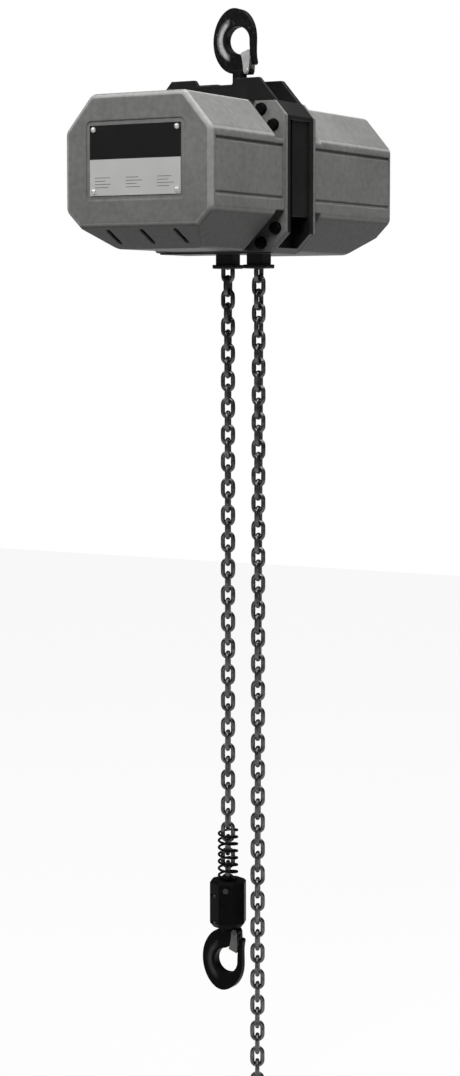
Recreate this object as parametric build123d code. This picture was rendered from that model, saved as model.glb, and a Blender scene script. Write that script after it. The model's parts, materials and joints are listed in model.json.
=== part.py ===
"""Electric chain hoist, half-ton class: hook-suspended casing, single-fall load chain and hook block.

Frame: millimetres, +Z up, +Y along the casing's long axis (the nameplate end faces -Y), +X across it.
The origin is the bearing point of the top hook: the inside top of its bowl, where the hoist is hung.
"""
from build123d import *
from math import atan2, cos, degrees, exp, hypot, pi, radians, sin, sqrt, tan
import os

# ---------------------------------------------------------------- driving dimensions
# Load chain
WIRE = 6.3                  # chain wire diameter
PITCH = 19.1                # inside length of a link
LINK_WIDTH = 21.0           # outside width of a link
LINK_PLAY = 0.1             # looseness between two links
POCKETS = 4                 # pockets of the load sheave
LOAD_LINKS = 52             # links of the load run, from the sheave down to the chain pin
TAIL_LINKS = 68             # links of the slack run
TAIL_LEAN = 1.0             # the slack chain's end hangs this much nearer the load chain
LOAD_TWIST = 22.0           # turn of the load chain and the hook block, degrees
TAIL_TWIST = 30.0           # turn of the slack chain at its end, degrees

# Casing section, seen along Y, as half widths about the casing's middle plane and heights
CASING_X = -19.0
SHOULDER_Z = -156.5
HIP_Z = -262.5
BASE_Z = -311.5
CORNER_R = 14.0             # rounding of the casing's long edges
EDGE_R = 8.0                # rounding of the end faces' edges
WALL = 4.0                  # thickness of the covers
FRONT_Y = -240.0            # nameplate end
REAR_Y = 290.5              # motor end
FACET_RISE = 29.5           # the sloping facet at the foot of each end
FACET_RUN = 56.5
FLANGE = 6.0                # thickness of the covers' bolting flanges
GASKET = 0.8

# Centre frame
FRAME_HALF_Y = 36.5
FRAME_HALF = 116.0
FRAME_TOP_HALF = 70.0
FRAME_TOP_Z = -74.5
FRAME_SHOULDER_Z = -128.0
FRAME_HIP_Z = -287.5
FRAME_LOW_HALF = 89.0
FRAME_BASE_Z = -315.0
FRONT_PLATE = 7.0
REAR_PLATE = 10.0
VALLEY_HALF = 27.0
VALLEY_DEPTH = 8.5
BRIDGE_HALF = 25.0
BRIDGE_FOOT_Z = -107.0
NUT_ROOM = 27.0             # height of the chamber for the top hook's nut

# Covers, as half widths: they stand back from the frame's edges
TOP_HALF = FRAME_TOP_HALF + 2.5
SIDE_HALF = FRAME_HALF - 2.0
LOW_HALF = FRAME_LOW_HALF - 23.5

# Top and bottom hook, one forging
BOWL_R = 18.5
HOOK_THICK = 14.0
NOSE_THICK = 9.0
NECK_R = 10.0
SHANK_R = 9.0
NECK_END = 82.7             # from the bearing point to the end of the neck
WASHER = 4.0
HOOK_NUT = 14.0
LATCH_SHEET = 1.6
LATCH_HALF = 7.4            # half the room between the latch's cheeks
LATCH_PIN_R = 2.0
LUG_R = 4.8

# Gear train
MOTOR_X, MOTOR_Z = -19.0, -181.0
SHEAVE_Z = -235.0
LAY2_DROP = 8.0             # second layshaft below the sheave's axis
PRESSURE_ANGLE = radians(25)
BACKLASH = 0.10             # per module
STAGES = ((1.0, 15, 75, 10.0), (1.5, 13, 52, 14.0), (2.0, 14, 42, 20.0))   # module, teeth, teeth, face

# Motor and brake
MOTOR_R = 66.0
MOTOR_SHELL = 4.0
STATOR_BORE_R = 38.0
AIR_GAP = 0.4
TOP_Z = MOTOR_Z + MOTOR_R + 7.5     # the covers' top clears the motor
CORE_Y0, CORE_LENGTH = 78.0, 82.0
WINDING_OVERHANG = 20.0
SHAFT_R = 8.5
BRAKE_R = MOTOR_R - 18.0

# Hook block and cushion spring
BLOCK_R = 25.0              # across the flats of the octagon, halved
BLOCK_HEIGHT = 69.0
BOTTOM_NECK = 68.5          # from the bottom hook's bearing point up to the block's underside
LINK_SINK = 6.65            # the last link's middle lies this much below the block's top
BLOCK_CHAMFER = 7.0
SPRING_R = 13.3
SPRING_WIRE = 3.5
SPRING_HEIGHT = 75.0
SPRING_TURNS = 7
CHAIN_PIN_R = 4.0

# Chain guides
GUIDE_SIDE = 25.0
GUIDE_LIP_X, GUIDE_LIP_Y = 37.0, 32.0
GUIDE_DROP = 14.5           # block below the frame
GUIDE_LIP = 5.5

# Nameplate and vents
PLATE_W, PLATE_H, PLATE_T = 141.0, 92.5, 1.2
PLATE_Z = -196.0
PLATE_OFFSET = -3.0
PLATE_RECESS = 1.0
VENT_PITCH, VENT_WIDTH = 52.5, 6.5

FIT = 0.05                  # radial clearance of a running fit
CLEAR = 0.3                 # clearance between pieces that only pass each other

# ---------------------------------------------------------------- derived places
RUN_R = PITCH / (2 * sin(pi / (2 * POCKETS)))      # from the sheave's axis to each hanging run
LINK_R = RUN_R * cos(pi / (2 * POCKETS))           # from the sheave's axis to a wrapped link's middle
LOAD_X = CASING_X
SHEAVE_X = LOAD_X + RUN_R
SLACK_X = SHEAVE_X + RUN_R
GUIDE_FOOT_Z = FRAME_BASE_Z - GUIDE_DROP - GUIDE_LIP


def link_z(k):
    """Middle height of link k of a hanging run; link 0 leaves the sheave."""
    return SHEAVE_Z - PITCH * (k + 0.5)


BLOCK_TOP_Z = link_z(LOAD_LINKS - 1) + LINK_SINK
BLOCK_BASE_Z = BLOCK_TOP_Z - BLOCK_HEIGHT
HOOK_DROP = BOTTOM_NECK - BLOCK_BASE_Z             # from the top hook's bearing point to the bottom hook's


# ---------------------------------------------------------------- helpers
def block(x0, x1, y0, y1, z0, z1):
    """Box between two corners."""
    return Pos((x0 + x1) / 2, (y0 + y1) / 2, (z0 + z1) / 2) * Box(x1 - x0, y1 - y0, z1 - z0)


def rod_y(x, z, r, y0, y1):
    """Cylinder along Y."""
    return Pos(x, (y0 + y1) / 2, z) * Rot(90, 0, 0) * Cylinder(r, y1 - y0)


def rod_z(x, y, r, z0, z1):
    """Cylinder along Z."""
    return Pos(x, y, (z0 + z1) / 2) * Cylinder(r, z1 - z0)


def rod_x(y, z, r, x0, x1):
    """Cylinder along X."""
    return Pos((x0 + x1) / 2, y, z) * Rot(0, 90, 0) * Cylinder(r, x1 - x0)


def tube_y(x, z, r_out, r_in, y0, y1):
    """Ring or tube along Y."""
    return rod_y(x, z, r_out, y0, y1) - rod_y(x, z, r_in, y0 - 1, y1 + 1)


def prism_y(points, y0, y1, corner=0.0):
    """Closed outline of (x, z) points, with rounded corners if asked, extruded from y0 to y1."""
    outline = Polyline(*points, close=True)
    face = make_face(outline)
    if corner:
        face = fillet(face.vertices(), corner)
    return extrude(Plane(origin=(0, y1, 0), x_dir=(1, 0, 0), z_dir=(0, -1, 0)) * face, amount=y1 - y0)


def mirrored(half):
    """Full outline from the half that lies on +X, about the casing's middle plane."""
    right = [(CASING_X + x, z) for x, z in half]
    left = [(CASING_X - x, z) for x, z in reversed(half)]
    return right + left


def hex_bolt(x, z, y_seat, out, length, r=4.0, flats=13.0, head=5.5, washer_r=8.5, washer=1.5):
    """Hexagon bolt along Y with its washer on a seat at y_seat; out is the head's direction, +1 or -1."""
    shape = Cylinder(washer_r, washer, align=(Align.CENTER, Align.CENTER, Align.MIN))
    hexagon = extrude(RegularPolygon(flats / 2, 6, major_radius=False), amount=head)
    shape = shape + Pos(0, 0, washer) * hexagon
    shape = shape + Cylinder(r, length, align=(Align.CENTER, Align.CENTER, Align.MAX))
    turn = Rot(90, 0, 0) if out < 0 else Rot(-90, 0, 0)
    return Pos(x, y_seat, z) * turn * shape


def save(name, shape):
    """Write one node."""
    solids = shape if isinstance(shape, list) else [shape]
    flat = [s for one in solids for s in one.solids()]
    export_step(flat[0] if len(flat) == 1 else Compound(children=flat), f"parts/{name}.step")


# ---------------------------------------------------------------- covers
CASING_HALF = [(TOP_HALF, TOP_Z), (SIDE_HALF, SHOULDER_Z), (SIDE_HALF, HIP_Z), (LOW_HALF, BASE_Z)]
FRAME_SLOPE = (FRAME_HALF - FRAME_TOP_HALF) / (FRAME_TOP_Z - FRAME_SHOULDER_Z)
FLANGE_TOP_HALF = FRAME_TOP_HALF + (FRAME_TOP_Z - TOP_Z) * FRAME_SLOPE
FLANGE_LIFT = 2.0           # the flanges end this much above the frame's foot
FRAME_LOW_SLOPE = (FRAME_HALF - FRAME_LOW_HALF) / (FRAME_HIP_Z - FRAME_BASE_Z)
FLANGE_HALF = [(FLANGE_TOP_HALF, TOP_Z), (FRAME_HALF, FRAME_SHOULDER_Z), (FRAME_HALF, FRAME_HIP_Z),
               (FRAME_LOW_HALF + FLANGE_LIFT * FRAME_LOW_SLOPE, FRAME_BASE_Z + FLANGE_LIFT)]
UPPER_BOLTS = ((FRAME_TOP_HALF + 8.0, -119.0),
               (FRAME_TOP_HALF + 0.66 * (FRAME_HALF - FRAME_TOP_HALF) - 3.4, -141.0))
LOWER_BOLTS = ((FRAME_LOW_HALF + 0.62 * (FRAME_HALF - FRAME_LOW_HALF) - 4.7, -281.0),
               (FRAME_LOW_HALF - 11.0, -301.0))
BOLT_SPOTS = [(CASING_X + side * x, z) for side in (1, -1) for x, z in UPPER_BOLTS + LOWER_BOLTS]
BOLT_HOLE_R = 4.4
SCOOP_DEPTH = 14.0
SCOOP_FLAT = 13.0
FRONT_RAMP, REAR_RAMP = 14.0, 9.0     # the scoops run out over this length
SCOOP_END = 3.0              # the scoop passes the chamfer's ends by this much
PANEL_TOP_Z, PANEL_FOOT_Z = -170.0, -241.0
PANEL_MARGIN = 11.0
PANEL_DEPTH = 1.2
GROOVE_DEPTH, GROOVE_WIDTH = 2.4, 4.5


def inset(half, by):
    """Half outline moved inwards by a wall thickness."""
    points = []
    ring = [(0, half[0][1])] + half + [(0, half[-1][1])]
    for (x0, z0), (x1, z1), (x2, z2) in zip(ring, ring[1:], ring[2:]):
        a = atan2(z1 - z0, x1 - x0)
        b = atan2(z2 - z1, x2 - x1)
        turn = (b - a) / 2
        mid = (a + b) / 2
        reach = by / cos(turn)
        points.append((x1 + reach * sin(mid), z1 - reach * cos(mid)))
    return points


def cover_body(length, end_out):
    """Outside of a cover as a prism from y = 0 (open end) to y = -length (closed end)."""
    body = prism_y(mirrored(CASING_HALF), -length, 0, CORNER_R)
    facet = [(-length - 1, BASE_Z - 1), (-length - 1, BASE_Z + FACET_RISE * (1 + 1 / FACET_RUN)),
             (-length + FACET_RUN * (1 + 1 / FACET_RISE), BASE_Z - 1)]
    wedge = extrude(Plane(origin=(CASING_X - 200, 0, 0), x_dir=(0, 1, 0), z_dir=(1, 0, 0))
                    * make_face(Polyline(*facet, close=True)), amount=400)
    body = body - wedge
    if end_out:
        ends = body.edges().filter_by(lambda e: e.center().Y < -length + 0.5)
        body = fillet(ends, end_out)
    return body


def scoop(side, upper, run_out, grow=0.0):
    """Wedge that clears the two bolts of one corner; the cover's open end is at y = 0."""
    (x0, z0), (x1, z1) = (CASING_HALF[0], CASING_HALF[1]) if upper else (CASING_HALF[2], CASING_HALF[3])
    span = hypot(x1 - x0, z1 - z0)
    deep = SCOOP_DEPTH + grow
    start = -FLANGE - SCOOP_FLAT - grow
    ramp = start - run_out - grow / 2
    profile = Polyline((1, 14), (1, -deep), (start, -deep), (ramp, 0), (ramp - run_out, 14), close=True)
    half = span / 2 + SCOOP_END + grow
    wedge = extrude(Plane(origin=(-half, 0, 0), x_dir=(0, 1, 0), z_dir=(1, 0, 0)) * make_face(profile),
                    amount=2 * half)
    along = degrees(atan2(z0 - z1, x1 - x0))
    placed = Pos(CASING_X + (x0 + x1) / 2, 0, (z0 + z1) / 2) * Rot(0, along, 0) * wedge
    if side < 0:
        placed = Pos(CASING_X, 0, 0) * mirror(Pos(-CASING_X, 0, 0) * placed, Plane.YZ)
    return placed


def cover_room(length, run_out):
    """Room inside a cover: the casing section less its wall, less the pads behind the bolt scoops."""
    room = prism_y(mirrored(inset(CASING_HALF, WALL)), -length + WALL, 1)
    tilt = atan2(FACET_RISE, FACET_RUN)
    lift = WALL / cos(tilt)
    facet = [(-length - 1, BASE_Z - 1), (-length - 1, BASE_Z + FACET_RISE + lift + sin(tilt)),
             (-length + FACET_RUN + (lift + 1) / tan(tilt), BASE_Z - 1)]
    room = room - extrude(Plane(origin=(CASING_X - 200, 0, 0), x_dir=(0, 1, 0), z_dir=(1, 0, 0))
                          * make_face(Polyline(*facet, close=True)), amount=400)
    for side in (1, -1):
        for upper in (True, False):
            room = room - scoop(side, upper, run_out, WALL)
    return room


def cover(length, run_out):
    """One casing cover, open at y = 0 and closed at y = -length, with its bolting flange."""
    solid = cover_body(length, EDGE_R)
    for side in (1, -1):
        for upper in (True, False):
            solid = solid - scoop(side, upper, run_out)
    solid = solid + prism_y(mirrored(FLANGE_HALF), -FLANGE, 0)
    for side in (1, -1):
        face_x = CASING_X + side * SIDE_HALF
        y0, y1 = -length + PANEL_MARGIN, -FLANGE - 3
        a, b = sorted((face_x - side * PANEL_DEPTH, face_x + side * 5))
        solid = solid - block(a, b, y0, y1, PANEL_FOOT_Z, PANEL_TOP_Z)
        a, b = sorted((face_x - side * GROOVE_DEPTH, face_x + side * 5))
        for z in (PANEL_TOP_Z, PANEL_FOOT_Z):
            solid = solid - block(a, b, y0, y1, z - GROOVE_WIDTH / 2, z + GROOVE_WIDTH / 2)
    solid = solid - cover_room(length, run_out)
    tilt = degrees(atan2(FACET_RISE, FACET_RUN))
    slot_length = 0.62 * hypot(FACET_RISE, FACET_RUN) - VENT_WIDTH
    slot = Box(VENT_WIDTH, slot_length, 30)
    for end in (1, -1):
        slot = slot + Pos(0, end * slot_length / 2, 0) * Cylinder(VENT_WIDTH / 2, 30)
    for n in (-1, 0, 1):
        place = Pos(CASING_X + n * VENT_PITCH, -length + FACET_RUN * 0.47, BASE_Z + FACET_RISE * 0.53)
        solid = solid - place * Rot(-tilt, 0, 0) * slot
    for x, z in BOLT_SPOTS:
        solid = solid - rod_y(x, z, BOLT_HOLE_R, -FLANGE - 3, 1)
    return solid


def flipped(shape):
    """The rear cover is the front one turned half round about Z through the casing's middle plane."""
    return Pos(CASING_X, 0, 0) * Rot(0, 0, 180) * Pos(-CASING_X, 0, 0) * shape


def covers():
    """Both covers, their gaskets and bolts, and the nameplate."""
    seat = FRAME_HALF_Y + GASKET
    front = Pos(0, -seat, 0) * cover(-FRONT_Y - seat, FRONT_RAMP)
    plate_x = CASING_X + PLATE_OFFSET
    recess = Box(PLATE_W + 12, 2 * PLATE_RECESS, PLATE_H + 12)
    recess = fillet(recess.edges().filter_by(Axis.Y), 8)
    front = front - Pos(plate_x, FRONT_Y, PLATE_Z) * recess
    screw_dx, screw_dz = PLATE_W / 2 - 5.5, PLATE_H / 2 - 5.5
    plate = Box(PLATE_W, PLATE_T, PLATE_H)
    screws = []
    plate_face = FRONT_Y + PLATE_RECESS - PLATE_T
    for sx in (-1, 1):
        for sz in (-1, 1):
            x, z = plate_x + sx * screw_dx, PLATE_Z + sz * screw_dz
            plate = plate - rod_y(sx * screw_dx, sz * screw_dz, 1.6, -5, 5)
            front = front - rod_y(x, z, 1.5, FRONT_Y - 1, FRONT_Y + WALL + 2)
            head = Sphere(4.2) & Pos(0, 0, 3.4) * Box(12, 12, 4)
            head = Pos(0, 0, -1.4) * head
            shank = Cylinder(1.5, 6.0, align=(Align.CENTER, Align.CENTER, Align.MAX))
            screws.append(Pos(x, plate_face, z) * Rot(90, 0, 0) * (head + shank))
    save("front_cover", front)
    save("nameplate", Pos(plate_x, plate_face + PLATE_T / 2, PLATE_Z) * plate)
    save("nameplate_screws", screws)
    rear = flipped(Pos(0, -seat, 0) * cover(REAR_Y - seat, REAR_RAMP))
    save("rear_cover", rear)
    ring = prism_y(mirrored(FLANGE_HALF), -seat, -FRAME_HALF_Y) - Pos(0, -seat, 0) * cover_room(60.0, FRONT_RAMP)
    for x, z in BOLT_SPOTS:
        ring = ring - rod_y(x, z, BOLT_HOLE_R, -seat - 1, -FRAME_HALF_Y + 1)
    save("cover_gaskets", [ring, flipped(ring)])
    bolt_seat = seat + FLANGE
    length = FLANGE + GASKET + FRONT_PLATE + 5
    save("cover_bolts", [hex_bolt(x, z, out * bolt_seat, out, length) for x, z in BOLT_SPOTS for out in (-1, 1)])


# ---------------------------------------------------------------- centre frame
CAVITY_R = 37.0             # room for the load sheave
CAVITY_HALF_Y = 18.0
CHANNEL_X, CHANNEL_Y = 13.5, 13.5
SIDE_SLOT = 12.0            # open slot behind the front plate, along the frame's sides
SIDE_DROP = 3.0
FLOOR = 16.0
BALL_SHEAVE = (12.5, 26.0, 15.0)       # bore radius, outer radius, width
BALL_MOTOR = (8.5, 20.0, 12.0)
BALL_LAY = (6.0, 14.0, 8.0)


def circle_cross(c0, r0, c1, r1, side):
    """Crossing of two circles about c0 and c1; side picks the one on the left or the right of c0 to c1."""
    dx, dz = c1[0] - c0[0], c1[1] - c0[1]
    base = hypot(dx, dz)
    along = (r0 ** 2 - r1 ** 2 + base ** 2) / (2 * base)
    height = sqrt(r0 ** 2 - along ** 2)
    ux, uz = dx / base, dz / base
    return (c0[0] + along * ux - side * height * uz, c0[1] + along * uz + side * height * ux)


def centre_distance(stage):
    """Distance of the two shafts of a gear stage."""
    module, pinion, gear, _ = STAGES[stage]
    return module * (pinion + gear) / 2


MOTOR = (MOTOR_X, MOTOR_Z)
SHEAVE = (SHEAVE_X, SHEAVE_Z)
LAY2 = (SHEAVE_X - sqrt(centre_distance(2) ** 2 - LAY2_DROP ** 2), SHEAVE_Z - LAY2_DROP)
LAY1 = circle_cross(MOTOR, centre_distance(0), LAY2, centre_distance(1), -1)
CASE_WALL = 4.0
CASE_AIR = 3.0              # from the gears' tips to the case


def case_radius(stage):
    """Outer radius of the gearcase round one stage's gear."""
    module, _, gear, _ = STAGES[stage]
    return module * (gear / 2 + 1) + CASE_AIR + CASE_WALL


EAR_R, EAR_BOLT_R, EAR_THICK = 9.0, 3.0, 8.0
CASE_ROUND = ((LAY1, case_radius(0)), (LAY2, case_radius(1)), (SHEAVE, case_radius(2)), (MOTOR, 21.0))
EARS = [(centre[0] + (radius + 6.6) * cos(radians(a)), centre[1] + (radius + 6.6) * sin(radians(a)))
        for (centre, radius), a in ((CASE_ROUND[0], 150), (CASE_ROUND[1], 188), (CASE_ROUND[2], 42),
                                    (CASE_ROUND[2], -20), (CASE_ROUND[3], 80))]

FRAME_HALF_OUTLINE = [(FRAME_TOP_HALF, FRAME_TOP_Z), (FRAME_HALF, FRAME_SHOULDER_Z),
                      (FRAME_HALF, FRAME_HIP_Z), (FRAME_LOW_HALF, FRAME_BASE_Z)]


def plate_outline():
    """Frame plate with the valley between its two humps."""
    right = [(VALLEY_HALF, FRAME_TOP_Z - VALLEY_DEPTH), (VALLEY_HALF + VALLEY_DEPTH * 0.7, FRAME_TOP_Z)]
    return mirrored(right + FRAME_HALF_OUTLINE)


def center_frame():
    """The cast frame: two plates, the body between them, and the bridge that the top hook hangs in."""
    front = prism_y(plate_outline(), -FRAME_HALF_Y, -FRAME_HALF_Y + FRONT_PLATE)
    rear = prism_y(plate_outline(), FRAME_HALF_Y - REAR_PLATE, FRAME_HALF_Y)
    inner_front, inner_rear = -FRAME_HALF_Y + FRONT_PLATE - 1, FRAME_HALF_Y - REAR_PLATE + 1
    lip_half = FRAME_TOP_HALF + (FRAME_TOP_Z - BRIDGE_FOOT_Z) * FRAME_SLOPE
    body = prism_y(mirrored([(lip_half, BRIDGE_FOOT_Z)] + FRAME_HALF_OUTLINE[1:]), inner_front, inner_rear)
    side_top, side_foot = FRAME_SHOULDER_Z - 5, FRAME_HIP_Z + 22
    for side in (1, -1):
        edge = CASING_X + side * FRAME_HALF
        a, b = sorted((edge - side * SIDE_DROP, edge + side * 5))
        body = body - block(a, b, inner_front - 1, inner_rear + 1, side_foot, side_top)
        a, b = sorted((edge - side * SIDE_SLOT, edge + side * 5))
        body = body - block(a, b, inner_front - 1, inner_front + 12, side_foot, side_top)
        a, b = sorted((edge - side * 30, edge + side * 5))
        body = body - block(a, b, inner_front - 1, inner_rear + 1, FRAME_BASE_Z + 8, side_foot + 1)
    bridge = block(-BRIDGE_HALF, BRIDGE_HALF, inner_front, inner_rear, BRIDGE_FOOT_Z - 1, -NECK_END - CLEAR)
    body = body + bridge + front + rear
    body = body - rod_z(0, 0, SHANK_R + FIT, BRIDGE_FOOT_Z - 5, -NECK_END + 5)
    chamber_half = BRIDGE_HALF - 6
    body = body - block(-chamber_half, chamber_half, -FRAME_HALF_Y - 1, chamber_half, BRIDGE_FOOT_Z - NUT_ROOM,
                        BRIDGE_FOOT_Z)
    body = body - rod_y(SHEAVE_X, SHEAVE_Z, CAVITY_R, -CAVITY_HALF_Y, CAVITY_HALF_Y)
    for run_x in (LOAD_X, SLACK_X):
        body = body - block(run_x - CHANNEL_X, run_x + CHANNEL_X, -CHANNEL_Y, CHANNEL_Y,
                            FRAME_BASE_Z + FLOOR, SHEAVE_Z)
        side = GUIDE_SIDE / 2 + FIT
        body = body - block(run_x - side, run_x + side, -side, side, FRAME_BASE_Z - 1, FRAME_BASE_Z + FLOOR + 1)
    bore, outer, width = BALL_SHEAVE
    body = body - rod_y(*SHEAVE, outer + FIT, -FRAME_HALF_Y - 1, -FRAME_HALF_Y + width)
    body = body - rod_y(*SHEAVE, outer + FIT, FRAME_HALF_Y - width, FRAME_HALF_Y + 1)
    body = body - rod_y(*SHEAVE, bore + 2, -FRAME_HALF_Y, FRAME_HALF_Y)
    body = body - rod_y(*MOTOR, SHAFT_R + 1, -FRAME_HALF_Y - 1, FRAME_HALF_Y + 1)
    body = body - rod_y(*MOTOR, BALL_MOTOR[1] + FIT, FRAME_HALF_Y - BALL_MOTOR[2], FRAME_HALF_Y + 1)
    for centre in (LAY1, LAY2):
        body = body - rod_y(*centre, BALL_LAY[1] + FIT, -FRAME_HALF_Y - 1, -FRAME_HALF_Y + BALL_LAY[2])
    for x, z in EARS:
        body = body - rod_y(x, z, EAR_BOLT_R, -FRAME_HALF_Y - 1, -FRAME_HALF_Y + FRONT_PLATE)
    for x, z in BOLT_SPOTS:
        body = body - rod_y(x, z, 4.0 + CLEAR, -FRAME_HALF_Y - 1, -FRAME_HALF_Y + FRONT_PLATE + 9)
        body = body - rod_y(x, z, 4.0 + CLEAR, FRAME_HALF_Y - REAR_PLATE - 9, FRAME_HALF_Y + 1)
    save("center_frame", body)


def bearing(x, z, size, y0):
    """Ball bearing along Y: two rings, balls and a running gap, as one group."""
    bore, outer, width = size
    race = (outer - bore) / 3.4
    middle = (bore + outer) / 2
    ball = (outer - bore) * 0.27
    torus = Pos(x, y0 + width / 2, z) * Rot(90, 0, 0) * Torus(middle, ball)
    rings = [tube_y(x, z, outer, outer - race, y0, y0 + width) - torus,
             tube_y(x, z, bore + race, bore, y0, y0 + width) - torus]
    count = int(2 * pi * middle / (ball * 2.5))
    balls = [Pos(x + middle * cos(2 * pi * n / count), y0 + width / 2, z + middle * sin(2 * pi * n / count))
             * Sphere(ball - 0.02) for n in range(count)]
    return rings, balls


def bearings():
    """Sheave, motor and layshaft bearings."""
    half, case_y = FRAME_HALF_Y, CASE_FOOT_Y + CASE_WALL
    groups = {
        "sheave_bearings": [(SHEAVE, BALL_SHEAVE, -half), (SHEAVE, BALL_SHEAVE, half - BALL_SHEAVE[2])],
        "motor_bearings": [(MOTOR, BALL_MOTOR, half - BALL_MOTOR[2]),
                           (MOTOR, BALL_MOTOR, SHELL_END_Y - BALL_MOTOR[2] + 4)],
        "layshaft_bearings": [(LAY1, BALL_LAY, -half), (LAY2, BALL_LAY, -half),
                              (LAY1, BALL_LAY, case_y), (LAY2, BALL_LAY, case_y)],
    }
    for name, places in groups.items():
        pieces = []
        for centre, size, y0 in places:
            rings, balls = bearing(*centre, size, y0)
            pieces += rings + balls
        save(name, pieces)


# ---------------------------------------------------------------- gears
GEAR_GAP = 4.0
GEAR3_Y = -FRAME_HALF_Y - 6.0 - STAGES[2][3]            # front side of each stage's teeth
GEAR2_Y = GEAR3_Y - GEAR_GAP - STAGES[1][3]
GEAR1_Y = GEAR2_Y - GEAR_GAP - STAGES[0][3]
CASE_FOOT_Y = GEAR1_Y - GEAR_GAP - BALL_LAY[2] - CASE_WALL


def involute_gear(module, teeth, phase, y0, y1, centre, bore):
    """Spur gear about a shaft along Y, one tooth centred on the angle phase in the XZ plane."""
    pitch_r = module * teeth / 2
    base_r = pitch_r * cos(PRESSURE_ANGLE)
    tip_r, root_r = pitch_r + module, pitch_r - 1.25 * module
    inv = tan(PRESSURE_ANGLE) - PRESSURE_ANGLE
    half_tooth = (pi / 2 - BACKLASH) / teeth
    points = []
    for n in range(teeth):
        middle = phase + 2 * pi * n / teeth
        flank = []
        start = max(base_r, root_r + 0.01)
        for k in range(4):
            r = start + (tip_r - start) * k / 3
            roll = sqrt(max((r / base_r) ** 2 - 1, 0))
            flank.append((r, half_tooth + inv - (roll - atan2(roll, 1))))
        if root_r < base_r:
            flank = [(root_r, flank[0][1])] + flank
        points += [(r, middle - a) for r, a in flank] + [(r, middle + a) for r, a in reversed(flank)]
    outline = [(centre[0] + r * cos(a), centre[1] + r * sin(a)) for r, a in points]
    gear = prism_y(outline, y0, y1)
    return gear - rod_y(*centre, bore, y0 - 1, y1 + 1) if bore else gear


def mesh_phase(stage, from_centre, to_centre, phase):
    """Phase of a gear that meshes with a pinion of the given phase."""
    _, pinion, gear, _ = STAGES[stage]
    toward = atan2(to_centre[1] - from_centre[1], to_centre[0] - from_centre[0])
    part = (toward - phase) * pinion / (2 * pi)
    return toward + pi - (0.5 - part) * 2 * pi / gear


def lightened(gear, centre, y0, y1, hub_r, rim_r):
    """Gear with its web turned thinner between hub and rim, and four holes."""
    web = (y1 - y0) * 0.28
    ring_front = tube_y(*centre, rim_r, hub_r, y0 - 1, y0 + web)
    ring_rear = tube_y(*centre, rim_r, hub_r, y1 - web, y1 + 1)
    gear = gear - ring_front - ring_rear
    middle, hole = (hub_r + rim_r) / 2, (rim_r - hub_r) * 0.33
    for n in range(4):
        a = pi / 4 + n * pi / 2
        gear = gear - rod_y(centre[0] + middle * cos(a), centre[1] + middle * sin(a), hole, y0 - 1, y1 + 1)
    return gear


def gears():
    """Three reductions: motor pinion to first gear, its pinion to second gear, its pinion to final gear."""
    (m1, p1, g1, f1), (m2, p2, g2, f2), (m3, p3, g3, f3) = STAGES
    shaft_r = BALL_LAY[0]
    bearing_front, bearing_rear = CASE_FOOT_Y + CASE_WALL, -FRAME_HALF_Y
    first = involute_gear(m1, g1, mesh_phase(0, MOTOR, LAY1, 0.0), GEAR1_Y, GEAR1_Y + f1, LAY1, shaft_r)
    save("first_gear", lightened(first, LAY1, GEAR1_Y, GEAR1_Y + f1, 11.0, m1 * g1 / 2 - 5))
    second = involute_gear(m2, g2, mesh_phase(1, LAY1, LAY2, 0.0), GEAR2_Y, GEAR2_Y + f2, LAY2, shaft_r)
    save("second_gear", lightened(second, LAY2, GEAR2_Y, GEAR2_Y + f2, 11.0, m2 * g2 / 2 - 6))
    final = involute_gear(m3, g3, mesh_phase(2, LAY2, SHEAVE, 0.0), GEAR3_Y, GEAR3_Y + f3, SHEAVE,
                          BALL_SHEAVE[0])
    save("final_gear", lightened(final, SHEAVE, GEAR3_Y, GEAR3_Y + f3, 19.0, m3 * g3 / 2 - 8))
    shaft1 = rod_y(*LAY1, shaft_r, bearing_front, bearing_rear + BALL_LAY[2])
    shaft1 = shaft1 + involute_gear(m2, p2, 0.0, GEAR2_Y - 1, GEAR2_Y + f2 + 1, LAY1, 0)
    save("first_layshaft", shaft1)
    shaft2 = rod_y(*LAY2, shaft_r, bearing_front, bearing_rear + BALL_LAY[2])
    shaft2 = shaft2 + involute_gear(m3, p3, 0.0, GEAR3_Y - 1, GEAR3_Y + f3 + 1, LAY2, 0)
    save("second_layshaft", shaft2)


def gearcase():
    """Cast cup over the gears, bolted to the front plate."""
    foot, mouth = CASE_FOOT_Y, -FRAME_HALF_Y
    shell, room = None, None
    for centre, radius in CASE_ROUND:
        outer = rod_y(*centre, radius, foot, mouth)
        inner = rod_y(*centre, radius - CASE_WALL, foot + CASE_WALL, mouth + 1)
        shell = outer if shell is None else shell + outer
        room = inner if room is None else room + inner
    shell = shell - room
    bearing_end = foot + CASE_WALL + BALL_LAY[2]
    for centre in (LAY1, LAY2):
        shell = shell + rod_y(*centre, BALL_LAY[1] + 4, foot + CASE_WALL - 1, bearing_end)
        shell = shell - rod_y(*centre, BALL_LAY[1] + FIT, foot + CASE_WALL, bearing_end + 12)
    bolts = []
    for x, z in EARS:
        shell = shell + (rod_y(x, z, EAR_R, mouth - EAR_THICK, mouth) - room)
        shell = shell - rod_y(x, z, EAR_BOLT_R, mouth - EAR_THICK - 1, mouth + 1)
        bolts.append(hex_bolt(x, z, mouth - EAR_THICK, -1, EAR_THICK + FRONT_PLATE - 1, r=EAR_BOLT_R - 0.02,
                              flats=10, head=4, washer_r=6, washer=1.2))
    save("gearcase", shell)
    save("gearcase_bolts", bolts)


# ---------------------------------------------------------------- motor and brake
SHELL_END_Y = CORE_Y0 + CORE_LENGTH + WINDING_OVERHANG + 16
BRAKE_Y = SHELL_END_Y + 8


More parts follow.
